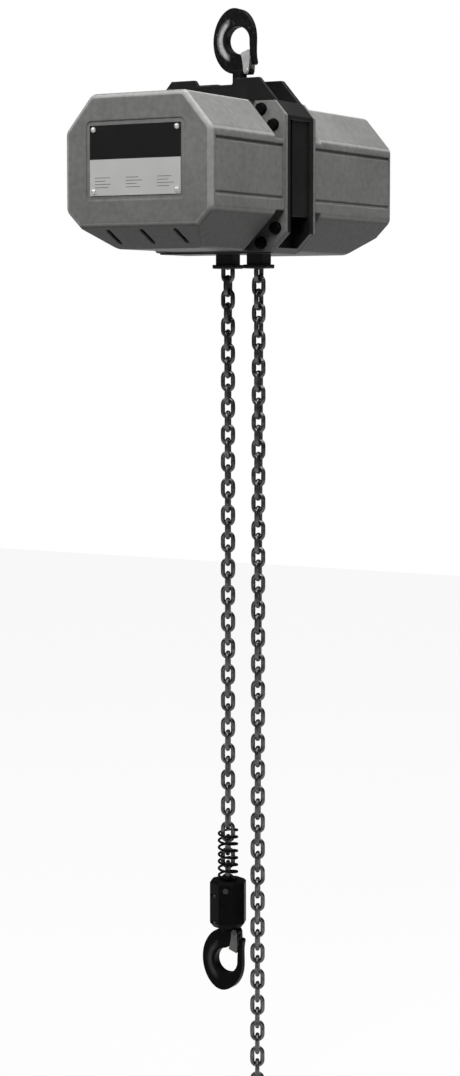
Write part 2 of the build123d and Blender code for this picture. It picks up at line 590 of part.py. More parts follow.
def motor():
    """Motor shell, stator, windings, rotor on its shaft, end bell, and the spring-set brake behind it."""
    x, z = MOTOR
    shell = tube_y(x, z, MOTOR_R, MOTOR_R - MOTOR_SHELL, FRAME_HALF_Y, SHELL_END_Y)
    core_r = MOTOR_R - MOTOR_SHELL
    stator = tube_y(x, z, core_r, STATOR_BORE_R, CORE_Y0, CORE_Y0 + CORE_LENGTH)
    save("motor_stator", stator)
    coils = []
    for y0, y1 in ((CORE_Y0 - WINDING_OVERHANG, CORE_Y0), (CORE_Y0 + CORE_LENGTH,
                                                           CORE_Y0 + CORE_LENGTH + WINDING_OVERHANG)):
        ring = tube_y(x, z, core_r - 4, STATOR_BORE_R + 4, y0, y1)
        far = [e for e in ring.edges() if abs(e.center().Y - (y0 if y1 == CORE_Y0 else y1)) < 0.1]
        coils.append(fillet(far, 0.375 * (core_r - STATOR_BORE_R - 8)))
    save("motor_windings", coils)
    core = tube_y(x, z, STATOR_BORE_R - AIR_GAP, SHAFT_R, CORE_Y0 + 1, CORE_Y0 + CORE_LENGTH - 1)
    save("rotor_core", core)
    m1, p1, _, f1 = STAGES[0]
    shaft = rod_y(x, z, SHAFT_R, GEAR1_Y + f1 + 2, BRAKE_Y + 34)
    shaft = shaft + rod_y(x, z, m1 * (p1 / 2 - 1.25), GEAR1_Y - 2, GEAR1_Y + f1 + 3)
    shaft = shaft + involute_gear(m1, p1, 0.0, GEAR1_Y - 1, GEAR1_Y + f1 + 1, MOTOR, 0)
    save("motor_shaft", shaft)
    bell = rod_y(x, z, MOTOR_R, SHELL_END_Y, SHELL_END_Y + 8)
    bell = bell + rod_y(x, z, BALL_MOTOR[1] + 4, SHELL_END_Y - BALL_MOTOR[2], SHELL_END_Y + 1)
    bell = bell - rod_y(x, z, BALL_MOTOR[1] + FIT, SHELL_END_Y - BALL_MOTOR[2] - 1, SHELL_END_Y + 4)
    bell = bell - rod_y(x, z, SHAFT_R + 2, SHELL_END_Y, SHELL_END_Y + 9)
    rods = []
    for n in range(4):
        a = radians(45 + 90 * n)
        rx, rz = x + (MOTOR_R - 8) * cos(a), z + (MOTOR_R - 8) * sin(a)
        bell = bell - rod_y(rx, rz, 2.2, SHELL_END_Y - 1, SHELL_END_Y + 9)
        rods.append(hex_bolt(rx, rz, SHELL_END_Y + 8, 1, 8 + 6, r=2.0, flats=7, head=3, washer_r=4.5,
                             washer=0.8))
        lug = rod_y(rx, rz, 5.5, SHELL_END_Y - 10, SHELL_END_Y)
        shell = shell + (lug & rod_y(x, z, MOTOR_R - 1, SHELL_END_Y - 11, SHELL_END_Y + 1))
        shell = shell - rod_y(rx, rz, 2.2, SHELL_END_Y - 8, SHELL_END_Y + 1)
    save("motor_shell", shell)
    save("motor_end_bell", bell)
    save("end_bell_screws", rods)
    brake(x, z)


def brake(x, z):
    """Spring-set disc brake: coil housing, armature, friction disc, pressure plate, studs and springs."""
    y = BRAKE_Y
    housing = tube_y(x, z, BRAKE_R, SHAFT_R + 2, y, y + 12)
    coil_room = tube_y(x, z, BRAKE_R - 12, 22, y + 4, y + 13)
    housing = housing - coil_room
    save("brake_coil", tube_y(x, z, BRAKE_R - 12 - FIT, 22 + FIT, y + 4, y + 11.5))
    armature = tube_y(x, z, BRAKE_R - 2, SHAFT_R + 2, y + 13, y + 18)
    disc = tube_y(x, z, BRAKE_R - 6, SHAFT_R, y + 18.2, y + 24)
    plate = tube_y(x, z, BRAKE_R, SHAFT_R + 2, y + 24.2, y + 28)
    studs, springs = [], []
    for n in range(3):
        a = radians(90 + 120 * n)
        sx, sz = x + (BRAKE_R - 3.4) * cos(a), z + (BRAKE_R - 3.4) * sin(a)
        armature = armature - rod_y(sx, sz, 3.4, y + 12, y + 19)
        housing = housing - rod_y(sx, sz, 2.02, y + 5, y + 13)
        studs.append(rod_y(sx, sz, 2.0, y + 5, y + 28) + rod_y(sx, sz, 2.9, y + 18.3, y + 24.2)
                     - rod_y(x, z, BRAKE_R - 5.8, y + 18, y + 24.2))
        plate = plate - rod_y(sx, sz, 2.0, y + 24, y + 29)
        b = radians(30 + 120 * n)
        px, pz = x + (BRAKE_R - 6) * cos(b), z + (BRAKE_R - 6) * sin(b)
        housing = housing - rod_y(px, pz, 3.6, y + 5, y + 13)
        coil = Helix(pitch=1.9, height=6.5, radius=2.6)
        wire = sweep(Plane(origin=coil @ 0, z_dir=coil % 0) * Circle(0.4), path=coil)
        springs.append(Pos(px, y + 12.0, pz) * Rot(90, 0, 0) * wire)
    save("brake_housing", housing)
    save("brake_armature", armature)
    save("brake_disc", disc)
    save("brake_plate", plate)
    save("brake_studs", studs)
    save("brake_springs", springs)


# ---------------------------------------------------------------- load sheave and chain guides
SHEAVE_BODY_R = 28.4
SHEAVE_RIM_R = 32.0
SHEAVE_HALF = 15.5
POCKET_HALF = 18.3
POCKET_WIDTH = LINK_WIDTH + 1.2
GROOVE_Y = WIRE + 1.2


def load_sheave():
    """Pocketed sheave and its shaft, one forging."""
    hub = rod_y(*SHEAVE, SHEAVE_BODY_R, -SHEAVE_HALF, SHEAVE_HALF)
    for y0, y1 in ((-SHEAVE_HALF, -POCKET_WIDTH / 2), (POCKET_WIDTH / 2, SHEAVE_HALF)):
        hub = hub + rod_y(*SHEAVE, SHEAVE_RIM_R, y0, y1)
    deep = LINK_R - LINK_WIDTH / 2 - 0.35
    hub = hub - tube_y(*SHEAVE, SHEAVE_RIM_R + 5, deep, -GROOVE_Y / 2, GROOVE_Y / 2)
    floor = LINK_R - WIRE / 2 - 2.6
    for n in range(POCKETS):
        angle = 360 / POCKETS * (n + 0.25)
        pocket = Pos(floor + LINK_R / 2, 0, 0) * Box(LINK_R, POCKET_WIDTH, 2 * POCKET_HALF)
        hub = hub - Pos(SHEAVE_X, 0, SHEAVE_Z) * Rot(0, -angle, 0) * pocket
    hub = hub + rod_y(*SHEAVE, deep - CLEAR, -FRAME_HALF_Y, FRAME_HALF_Y)
    for y0, y1 in ((GEAR3_Y - 1, -SHEAVE_HALF), (SHEAVE_HALF, FRAME_HALF_Y)):
        hub = hub + rod_y(*SHEAVE, BALL_SHEAVE[0] - FIT, y0, y1)
    hub = hub + tube_y(*SHEAVE, BALL_SHEAVE[0] + 1.8, BALL_SHEAVE[0] - 1, -FRAME_HALF_Y + BALL_SHEAVE[2],
                       -SHEAVE_HALF)
    save("load_sheave", hub)


def chain_guides():
    """Two guides that the chain leaves the frame through, with cross-shaped holes, and their cross pins."""
    flat, across = WIRE + 1.8, LINK_WIDTH + 1.6
    for name, run_x in (("load_chain_guide", LOAD_X), ("slack_chain_guide", SLACK_X)):
        half = GUIDE_SIDE / 2
        top, foot = FRAME_BASE_Z + FLOOR, GUIDE_FOOT_Z
        guide = block(run_x - half, run_x + half, -half, half, foot + GUIDE_LIP - 1, top)
        lip = Box(GUIDE_LIP_X, GUIDE_LIP_Y, GUIDE_LIP)
        lip = fillet(lip.edges().filter_by(Axis.Z), 6)
        lip = fillet(lip.edges().group_by(Axis.Z)[0], 1.6)
        guide = guide + Pos(run_x, 0, foot + GUIDE_LIP / 2) * lip
        guide = guide - block(run_x - flat / 2, run_x + flat / 2, -across / 2, across / 2, foot - 1, top + 1)
        guide = guide - block(run_x - across / 2, run_x + across / 2, -flat / 2, flat / 2, foot - 1, top + 1)
        save(name, guide)


# ---------------------------------------------------------------- chain
def link():
    """One welded link, its length along Z and its width along X."""
    r = (LINK_WIDTH - WIRE) / 2
    straight = PITCH + WIRE + LINK_PLAY - 2 * r
    legs = [Pos(side * r, 0, 0) * Cylinder(WIRE / 2, straight) for side in (1, -1)]
    crown = revolve(Plane(origin=(0, 0, 0), x_dir=(1, 0, 0), z_dir=(0, 0, 1)) * Pos(r, 0) * Circle(WIRE / 2),
                    Axis.Y, 180)
    top = Pos(0, 0, straight / 2) * (crown if crown.center().Z > 0 else Rot(180, 0, 0) * crown)
    bottom = Rot(180, 0, 0) * top
    return legs[0] + legs[1] + top + bottom


INSIDE_LINKS = int((SHEAVE_Z - FRAME_BASE_Z) / PITCH)       # whole links of each run inside the casing


def load_twist(k):
    """Turn of load link k about Z: it eases in below the guide."""
    return LOAD_TWIST * (1 - exp(-max(k - INSIDE_LINKS, 0) / 8))


def chains():
    """Wrapped links, both runs, and the links that ride with the hook block."""
    one = link()
    wrapped = []
    for n in range(POCKETS):
        angle = 90 / POCKETS * (2 * n + 1)
        spot = Pos(SHEAVE_X + LINK_R * cos(radians(angle)), 0, SHEAVE_Z + LINK_R * sin(radians(angle)))
        flat_turn = 90 if n % 2 == 0 else 0
        wrapped.append(spot * Rot(0, -angle, 0) * Rot(0, 0, flat_turn))
    load = [Pos(LOAD_X, 0, link_z(k)) * Rot(0, 0, (90 if k % 2 == 0 else 0) + load_twist(k))
            for k in range(LOAD_LINKS)]
    lean = degrees(atan2(TAIL_LEAN, (TAIL_LINKS - INSIDE_LINKS) * PITCH))
    slack = []
    for k in range(TAIL_LINKS):
        outside = max(k - INSIDE_LINKS, 0)
        share = outside / (TAIL_LINKS - 1 - INSIDE_LINKS)
        x = SLACK_X - TAIL_LEAN * share
        tilt = lean if outside > 0 else 0
        slack.append(Pos(x, 0, link_z(k)) * Rot(0, tilt, 0) * Rot(0, 0, (0 if k % 2 == 0 else 90)
                                                                 + TAIL_TWIST * share))
    ride_from = next(k for k in range(LOAD_LINKS) if link_z(k) + PITCH / 2 + WIRE < BLOCK_TOP_Z + SPRING_HEIGHT)
    save("chain_in_casing", [place * one for place in wrapped + load[:INSIDE_LINKS] + slack[:INSIDE_LINKS]])
    save("load_chain", [place * one for place in load[INSIDE_LINKS:ride_from]])
    save("load_chain_end", [place * one for place in load[ride_from:]])
    save("slack_chain", [place * one for place in slack[INSIDE_LINKS:]])
    end_x, end_z = SLACK_X - TAIL_LEAN, link_z(TAIL_LINKS - 1)
    stop = Pos(end_x, 0, end_z - 14) * Rot(0, 0, TAIL_TWIST) * Box(24, 24, 24)
    stop = fillet(stop.edges(), 3)
    reach = (LINK_WIDTH + 1.0, WIRE + 1.0)
    turn = TAIL_TWIST + (0 if (TAIL_LINKS - 1) % 2 == 0 else 90)
    slot = Pos(end_x, 0, end_z) * Rot(0, 0, turn) * Box(reach[0], reach[1], PITCH + 2 * WIRE + 1.2)
    pin_z = end_z - PITCH / 2 + 3.0 + LINK_PLAY
    pin_hole = Pos(end_x, 0, pin_z) * Rot(0, 0, turn) * Rot(90, 0, 0) * Cylinder(3.0 + FIT, 40)
    pin = Pos(end_x, 0, pin_z) * Rot(0, 0, turn) * Rot(90, 0, 0) * Cylinder(3.0, 26)
    save("chain_stop", [stop - slot - pin_hole, pin])


# ---------------------------------------------------------------- hooks
FORM = BOWL_R / 18.5        # the forging's outline follows its bowl
HOOK_OUTER = [(-10, -64.5), (-20, -60), (-31, -48), (-37.5, -31), (-38, -13), (-31.5, 7), (-20.5, 20),
              (-8, 25.3), (6, 22), (17, 12), (24, -3), (25.5, -20), (25.2, -36), (27, -49)]
NOSE_INNER = [(20.6, -51.5), (19.4, -38)]
NOSE_TIP = (24.6, -53.2)
THROAT = [(-16.3, -27.5), (-9, -35), (0, -37.8), (5.5, -41), (8.3, -48), (9.5, -57)]
THROAT_FOOT = (9.5, -64.5)
CRESCENT_OUT, CRESCENT_IN, CRESCENT_HALF, CRESCENT_DEPTH = 31.5, 24.0, 56.0, 1.5
LATCH_X, LATCH_Z = 15.0 * FORM, -61.5 * FORM


def formed(points):
    """Outline points of the forging at its bowl's scale."""
    return [(x * FORM, z * FORM) for x, z in points]


def side_view(shape, half):
    """Face drawn in the hook's plane, extruded to both sides of it."""
    return extrude(Plane(origin=(0, half, 0), x_dir=(1, 0, 0), z_dir=(0, -1, 0)) * shape, amount=2 * half)


def forged_hook(neck_end, shank_end):
    """Forged hook, bowl up, bearing point at the origin, nose on +X; its shank runs down the Z axis."""
    cz = -BOWL_R
    outer, inner, throat = formed(HOOK_OUTER), formed(NOSE_INNER), formed(THROAT)
    foot = formed([THROAT_FOOT])[0]
    edges = [Spline(*outer), ThreePointArc(outer[-1], formed([NOSE_TIP])[0], inner[0]),
             Spline(*inner, (BOWL_R, cz), tangents=((-0.1, 1), (0, 1))),
             ThreePointArc((BOWL_R, cz), (0, cz + BOWL_R), (-BOWL_R, cz)),
             Spline((-BOWL_R, cz), *throat, tangents=((0, -1), (0, -1))),
             Line(throat[-1], foot), Line(foot, outer[0])]
    half = HOOK_THICK / 2
    slab = side_view(make_face(edges), half)
    slim = NOSE_THICK / 2
    taper = Polyline((-60, half + 1), (4, half + 1), (24, slim), (60, slim), (60, -slim), (24, -slim),
                     (4, -half - 1), (-60, -half - 1), close=True)
    slab = slab & extrude(Plane(origin=(0, 0, -5 * BOWL_R)) * make_face(taper), amount=8 * BOWL_R)
    a = radians(180 - CRESCENT_HALF)
    far, near = CRESCENT_OUT * FORM, CRESCENT_IN * FORM
    moon = [ThreePointArc((far * cos(a), far * sin(a)), (-far, 0), (far * cos(a), -far * sin(a))),
            Line((far * cos(a), -far * sin(a)), (near * cos(a), -near * sin(a))),
            ThreePointArc((near * cos(a), -near * sin(a)), (-near, 0), (near * cos(a), near * sin(a))),
            Line((near * cos(a), near * sin(a)), (far * cos(a), far * sin(a)))]
    for side in (1, -1):
        plane = Plane(origin=(0, side * half, cz), x_dir=(1, 0, 0), z_dir=(0, -1, 0))
        slab = slab - extrude(plane * make_face(moon), amount=CRESCENT_DEPTH, both=True)
    solid = slab + rod_z(0, 0, NECK_R, -neck_end, -61 * FORM)
    solid = solid + rod_z(0, 0, SHANK_R, -shank_end, -neck_end + 1)
    lug_half = LATCH_HALF - 1
    solid = solid + block(4, LATCH_X, -lug_half, lug_half, LATCH_Z - LUG_R, LATCH_Z + LUG_R)
    solid = solid + rod_y(LATCH_X, LATCH_Z, LUG_R, -lug_half, lug_half)
    return solid - rod_y(LATCH_X, LATCH_Z, LATCH_PIN_R, -10, 10)


def latch():
    """Sheet latch: two cheeks on the pin, and a web that closes the throat against the nose."""
    px, pz, r = LATCH_X, LATCH_Z, LUG_R - 0.3
    out = LATCH_HALF + LATCH_SHEET
    top = formed([(6.2, -37.2), (19.0, -32.6), (20.3, -38.0)])
    web_x = 11.0 * FORM
    cheek = [(px - r, pz - 1), (px - r * 0.5, pz - r), (px + r * 0.5, pz - r), (px + r * 0.9, pz)]
    cheek += [top[2], top[1], top[0]] + formed([(8.6, -46.0), (10.2, -55.0)])
    rise = (top[1][1] - top[0][1]) / (top[1][0] - top[0][0])
    under = [(x, top[0][1] + (x - top[0][0]) * rise - LATCH_SHEET * 1.06) for x in (web_x, 18.5 * FORM)]
    web = [(px - 3 * r, pz - 3 * r), (px + 3 * r, pz - 3 * r), (px + 3 * r, 0), (under[1][0], 0),
           under[1], under[0], (web_x, 0), (px - 3 * r, 0)]
    solid = side_view(make_face(Polyline(*cheek, close=True)), out)
    solid = solid - side_view(make_face(Polyline(*web, close=True)), LATCH_HALF)
    return solid - rod_y(px, pz, LATCH_PIN_R + FIT, -20, 20)


def latch_spring():
    """Torsion spring coil round the latch pin, beside the lug."""
    coils = []
    ring = Pos(LATCH_X, 0, LATCH_Z) * Rot(90, 0, 0) * Torus(LATCH_PIN_R + 0.6, 0.35)
    for side in (1, -1):
        coils.append(Pos(0, side * (LATCH_HALF - 0.5), 0) * ring)
    return coils


def latch_pin():
    """Riveted pin of a latch."""
    reach = LATCH_HALF + LATCH_SHEET
    pin = rod_y(LATCH_X, LATCH_Z, LATCH_PIN_R, -reach - 1, reach + 1)
    for side in (1, -1):
        a, b = sorted((side * (reach + 0.05), side * (reach + 1.4)))
        pin = pin + rod_y(LATCH_X, LATCH_Z, LATCH_PIN_R + 1, a, b)
    return pin


def hex_nut(z0, height, flats, bore):
    """Hexagon nut about the Z axis."""
    nut = extrude(Plane(origin=(0, 0, z0)) * RegularPolygon(flats / 2, 6, major_radius=False), amount=height)
    return nut - rod_z(0, 0, bore, z0 - 1, z0 + height + 1)


def suspension():
    """Top hook with its latch, thrust washer, nut and pin."""
    washer_z = BRIDGE_FOOT_Z - WASHER
    nut_z = washer_z - HOOK_NUT - 0.1
    shank_end = -nut_z + 4
    top = forged_hook(NECK_END, shank_end)
    pin_z = nut_z + HOOK_NUT / 2
    cross = rod_x(0, pin_z, 2.0, -20, 20)
    save("top_hook", top - cross)
    save("top_hook_nut", [hex_nut(nut_z, HOOK_NUT, 27, SHANK_R) - cross, rod_x(0, pin_z, 2.0, -16, 16)])
    ring = rod_z(0, 0, 15, washer_z, BRIDGE_FOOT_Z) - rod_z(0, 0, SHANK_R + FIT, washer_z - 1, BRIDGE_FOOT_Z + 1)
    save("top_hook_washer", ring)
    save("top_latch", latch())
    save("top_latch_pin", [latch_pin()] + latch_spring())


def hook_block():
    """Lower block: two octagonal halves, screws, chain pin, thrust washer, nut, hook, latch and spring."""
    turn = Pos(LOAD_X, 0, 0) * Rot(0, 0, LOAD_TWIST)
    octagon = extrude(Plane(origin=(0, 0, BLOCK_BASE_Z)) * RegularPolygon(BLOCK_R, 8, major_radius=False),
                      amount=BLOCK_TOP_Z - BLOCK_BASE_Z)
    octagon = Rot(0, 0, 22.5) * octagon
    octagon = chamfer(octagon.edges().group_by(Axis.Z)[0], BLOCK_CHAMFER, BLOCK_CHAMFER * 0.8)
    octagon = chamfer(octagon.edges().group_by(Axis.Z)[-1], 3.0)
    floor_z = BLOCK_BASE_Z + 13
    washer_top = floor_z + WASHER
    nut_top = washer_top + HOOK_NUT + 0.1
    room = rod_z(0, 0, 17.0, floor_z, nut_top + 5)
    last = link_z(LOAD_LINKS - 1)
    flat, across = WIRE + 1.2, LINK_WIDTH + 1.2
    foot = last - PITCH / 2 - WIRE - 0.6
    chain_room = block(-across / 2, across / 2, -flat / 2, flat / 2, foot, BLOCK_TOP_Z + 1)
    chain_room = chain_room + block(-flat / 2, flat / 2, -across / 2, across / 2, last - 2, BLOCK_TOP_Z + 1)
    pin_z = last - PITCH / 2 + CHAIN_PIN_R + LINK_PLAY
    shaft_hole = rod_z(0, 0, SHANK_R + FIT, BLOCK_BASE_Z - 1, floor_z + 1)
    body = octagon - room - chain_room - shaft_hole - rod_y(0, pin_z, CHAIN_PIN_R + FIT, -40, 40)
    screw_spots = [(y, z) for y in (-16.5, 16.5) for z in (BLOCK_TOP_Z - 21.6, BLOCK_BASE_Z + 8)]
    screws = []
    for y, z in screw_spots:
        body = body - rod_x(y, z, 2.1, -40, 14)
        body = body - rod_x(y, z, 3.7, -40, -14)
        screws.append(rod_x(y, z, 3.5, -18.5, -14) + rod_x(y, z, 2.0, -15, 13.8))
    split = Box(100, 100, 400)
    left = body & (Pos(-50.02, 0, (BLOCK_TOP_Z + BLOCK_BASE_Z) / 2) * split)
    right = body & (Pos(50.02, 0, (BLOCK_TOP_Z + BLOCK_BASE_Z) / 2) * split)
    save("block_left", turn * left)
    save("block_right", turn * right)
    save("block_screws", [turn * s for s in screws])
    save("chain_pin", turn * rod_y(0, pin_z, CHAIN_PIN_R, -BLOCK_R - 0.8, BLOCK_R + 0.8))
    washer = rod_z(0, 0, 14, floor_z, washer_top) - rod_z(0, 0, SHANK_R + FIT, floor_z - 1, washer_top + 1)
    save("bottom_hook_washer", turn * washer)
    nut = hex_nut(washer_top + 0.1, HOOK_NUT, 27, SHANK_R)
    nut_mid = washer_top + 0.1 + HOOK_NUT / 2
    cross = rod_x(0, nut_mid, 2.0, -20, 20)
    place = Pos(LOAD_X, 0, 0)
    save("bottom_hook_nut", [place * (nut - cross), place * rod_x(0, nut_mid, 2.0, -15.5, 15.5)])
    shank_end = HOOK_DROP + nut_top + 1
    lower = Pos(LOAD_X, 0, -HOOK_DROP) * Rot(180, 0, 0)
    neck_end = HOOK_DROP + BLOCK_BASE_Z - CLEAR
    bottom = lower * forged_hook(neck_end, shank_end)
    save("bottom_hook", bottom - place * cross)
    save("bottom_latch", lower * latch())
    save("bottom_latch_pin", [lower * piece for piece in [latch_pin()] + latch_spring()])
    coil_height = SPRING_HEIGHT - SPRING_WIRE
    path = Helix(pitch=coil_height / SPRING_TURNS, height=coil_height, radius=SPRING_R)
    wire = sweep(Plane(origin=path @ 0, z_dir=path % 0) * Circle(SPRING_WIRE / 2), path=path)
    save("cushion_spring", Pos(LOAD_X, 0, BLOCK_TOP_Z + SPRING_WIRE / 2 + 0.02) * wire)


# ---------------------------------------------------------------- controls
PANEL_Y = -128.0


def controls():
    """Mounting plate with contactor, transformer, terminal block and limit switch in the front cover."""
    x = CASING_X
    plate = block(x - 78, x + 78, PANEL_Y - 2, PANEL_Y, -272, -160)
    posts = []
    for px, pz in ((LAY1[0] - 24, LAY1[1] + 16), (LAY2[0] - 22, LAY2[1] - 20), (SHEAVE_X + 30, SHEAVE_Z + 28),
                   (SHEAVE_X + 30, SHEAVE_Z - 22)):
        plate = plate - rod_y(px, pz, 3.0 + FIT, PANEL_Y - 3, PANEL_Y + 1)
        posts.append(rod_y(px, pz, 5.0, PANEL_Y, CASE_FOOT_Y) + rod_y(px, pz, 3.0, PANEL_Y - 2, PANEL_Y))
    save("control_panel", [plate] + posts)
    contactor = block(x - 60, x - 8, PANEL_Y - 52, PANEL_Y - 2, -214, -158)
    contactor = chamfer(contactor.edges().group_by(Axis.Y)[0], 4)
    save("contactor", contactor)
    core = block(x + 4, x + 58, PANEL_Y - 44, PANEL_Y - 2, -212, -162)
    window = block(x + 4 + 14, x + 58 - 14, PANEL_Y - 45, PANEL_Y - 1, -203, -171)
    save("transformer_core", core - window)
    bobbin = block(x + 18.3, x + 43.7, PANEL_Y - 50, PANEL_Y - 2.2, -202.7, -171.3)
    save("transformer_coil", bobbin)
    strip = block(x - 40, x + 36, PANEL_Y - 22, PANEL_Y - 2, -246, -226)
    for n in range(6):
        tx = x - 40 + 76 * (n + 0.5) / 6
        strip = strip - rod_y(tx, -236, 3.0, PANEL_Y - 23, PANEL_Y - 10)
    save("terminal_block", strip)


if __name__ == "__main__":
    os.makedirs("parts", exist_ok=True)
    covers()
    center_frame()
    bearings()
    gears()
    gearcase()
    motor()
    load_sheave()
    chain_guides()
    chains()
    suspension()
    hook_block()
    controls()
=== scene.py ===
"""Electric chain hoist: finishes, chain links, spring, plate print, stage, lamps and camera."""
import json
from math import cos, pi, radians, sin, tau

import bmesh
import bpy
from mathutils import Matrix, Vector


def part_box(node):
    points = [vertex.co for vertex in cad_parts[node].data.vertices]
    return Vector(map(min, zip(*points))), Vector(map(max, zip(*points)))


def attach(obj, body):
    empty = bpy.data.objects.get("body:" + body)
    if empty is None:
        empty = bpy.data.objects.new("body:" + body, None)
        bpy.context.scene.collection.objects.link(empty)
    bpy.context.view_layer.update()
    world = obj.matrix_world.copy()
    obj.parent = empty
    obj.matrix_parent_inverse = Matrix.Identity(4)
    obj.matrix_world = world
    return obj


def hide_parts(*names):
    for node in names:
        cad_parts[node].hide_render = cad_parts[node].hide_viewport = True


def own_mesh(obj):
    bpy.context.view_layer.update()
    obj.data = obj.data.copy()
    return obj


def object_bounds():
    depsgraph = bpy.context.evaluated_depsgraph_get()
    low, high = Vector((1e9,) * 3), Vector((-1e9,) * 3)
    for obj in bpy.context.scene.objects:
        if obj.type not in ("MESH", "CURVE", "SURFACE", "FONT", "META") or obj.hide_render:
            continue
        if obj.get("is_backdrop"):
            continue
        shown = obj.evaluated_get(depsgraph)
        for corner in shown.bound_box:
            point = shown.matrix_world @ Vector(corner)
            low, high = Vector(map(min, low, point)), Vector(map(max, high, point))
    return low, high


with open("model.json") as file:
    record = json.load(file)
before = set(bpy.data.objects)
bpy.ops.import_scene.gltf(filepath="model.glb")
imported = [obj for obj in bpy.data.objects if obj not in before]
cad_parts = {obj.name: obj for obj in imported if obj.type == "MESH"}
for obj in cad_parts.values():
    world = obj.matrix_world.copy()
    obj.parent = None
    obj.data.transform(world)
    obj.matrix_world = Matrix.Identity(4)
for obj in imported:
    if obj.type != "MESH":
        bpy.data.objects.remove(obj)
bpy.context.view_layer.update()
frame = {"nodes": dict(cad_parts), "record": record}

NODES = frame["nodes"]
MM = 0.001


# ------------------------------------------------------------ node helpers
class Graph:
    """Short hand for building a node tree."""

    def __init__(self, tree):
        self.tree = tree

    def add(self, kind):
        return self.tree.nodes.new(kind)

    def link(self, source, target):
        self.tree.links.new(source, target)

    def math(self, operation, *values):
        """A Math node; numbers go on its sockets and sockets are linked."""
        node = self.add("ShaderNodeMath")
        node.operation = operation
        for socket, value in zip(node.inputs, values):
            if isinstance(value, (int, float)):
                socket.default_value = value
            else:
                self.link(value, socket)
        return node.outputs[0]

    def limited(self, value, most):
        """A value kept between zero and an upper limit."""
        return self.math("MINIMUM", self.math("MAXIMUM", value, 0.0), most)


def noise(graph, coordinates, scale, detail=4.0, roughness=0.55):
    """Noise texture on the piece's own coordinates, scale per metre."""
    node = graph.add("ShaderNodeTexNoise")
    node.inputs["Scale"].default_value = scale
    node.inputs["Detail"].default_value = detail
    node.inputs["Roughness"].default_value = roughness
    graph.link(coordinates, node.inputs["Vector"])
    return node.outputs["Fac"]


def ramp(graph, factor, dark, light, low, high):
    """Colour ramp between two colours."""
    node = graph.add("ShaderNodeValToRGB")
    node.color_ramp.elements[0].position = low
    node.color_ramp.elements[0].color = (*dark, 1)
    node.color_ramp.elements[1].position = high
    node.color_ramp.elements[1].color = (*light, 1)
    graph.link(factor, node.inputs["Fac"])
    return node.outputs["Color"]


def mixed(graph, factor, first, second, way="MIX"):
    """Colour mix; factor, first and second are each a value or a socket."""
    node = graph.add("ShaderNodeMix")
    node.data_type = "RGBA"
    node.blend_type = way
    for place, value in ((0, factor), (6, first), (7, second)):
        if isinstance(value, (float, tuple)):
            node.inputs[place].default_value = value
        else:
            graph.link(value, node.inputs[place])
    return node.outputs[2]


def softened(graph, radius):
    """Normal whose edges are rounded off by a radius in mm."""
    node = graph.add("ShaderNodeBevel")
    node.samples = 6
    node.inputs["Radius"].default_value = radius * MM
    return node.outputs["Normal"]


def raised(graph, height, strength, distance, normal=None):
    """Bump from a height, its distance in mm, laid over another normal."""
    node = graph.add("ShaderNodeBump")
    node.inputs["Strength"].default_value = strength
    node.inputs["Distance"].default_value = distance * MM
    graph.link(height, node.inputs["Height"])
    if normal:
        graph.link(normal, node.inputs["Normal"])
    return node.outputs["Normal"]


def shade(colour, factor):
    """A colour made lighter or darker by a factor."""
    return tuple(min(1.0, c * factor) for c in colour)


def opened(material):
    """A material's graph, its shader and its own coordinates."""
    graph = Graph(material.node_tree)
    coordinates = graph.add("ShaderNodeTexCoord").outputs["Object"]
    return graph, material.node_tree.nodes["Principled BSDF"], coordinates


def feed(shader, socket):
    """What is linked to a shader's socket."""
    return shader.inputs[socket].links[0].from_socket


FINE_BUMP = 0.6
WEAR_FROM, WEAR_TO = 0.60, 0.72     # wear starts to show at the first noise level and is full at the second


def finish(name, colour, metallic=0.0, rough=0.4, spread=0.06, mottle=22.0, variety=0.06, grain=900.0,
           relief=0.02, soft_edge=0.0, wear=None, specular=0.5):
    """A surface finish: mottled colour, uneven gloss, fine relief and softened edges."""
    material = bpy.data.materials.new(name)
    material.use_nodes = True
    graph, shader, coordinates = opened(material)
    broad = noise(graph, coordinates, mottle)
    body = ramp(graph, broad, shade(colour, 1 - variety), shade(colour, 1 + variety), 0.3, 0.7)
    fine = noise(graph, coordinates, grain, 2.0)
    if wear:
        wear_colour, wear_scale = wear
        patches = graph.add("ShaderNodeMapRange")
        patches.inputs["From Min"].default_value = WEAR_FROM
        patches.inputs["From Max"].default_value = WEAR_TO
        graph.link(noise(graph, coordinates, wear_scale, 6.0, 0.7), patches.inputs["Value"])
        body = mixed(graph, patches.outputs["Result"], body, (*wear_colour, 1))
    graph.link(body, shader.inputs["Base Color"])
    gloss = graph.add("ShaderNodeMapRange")
    gloss.inputs["To Min"].default_value = rough - spread
    gloss.inputs["To Max"].default_value = rough + spread
    graph.link(broad, gloss.inputs["Value"])
    graph.link(gloss.outputs["Result"], shader.inputs["Roughness"])
    shader.inputs["Metallic"].default_value = metallic
    shader.inputs["Specular IOR Level"].default_value = specular
    normal = softened(graph, soft_edge) if soft_edge else None
    graph.link(raised(graph, fine, FINE_BUMP, relief, normal), shader.inputs["Normal"])
    return material


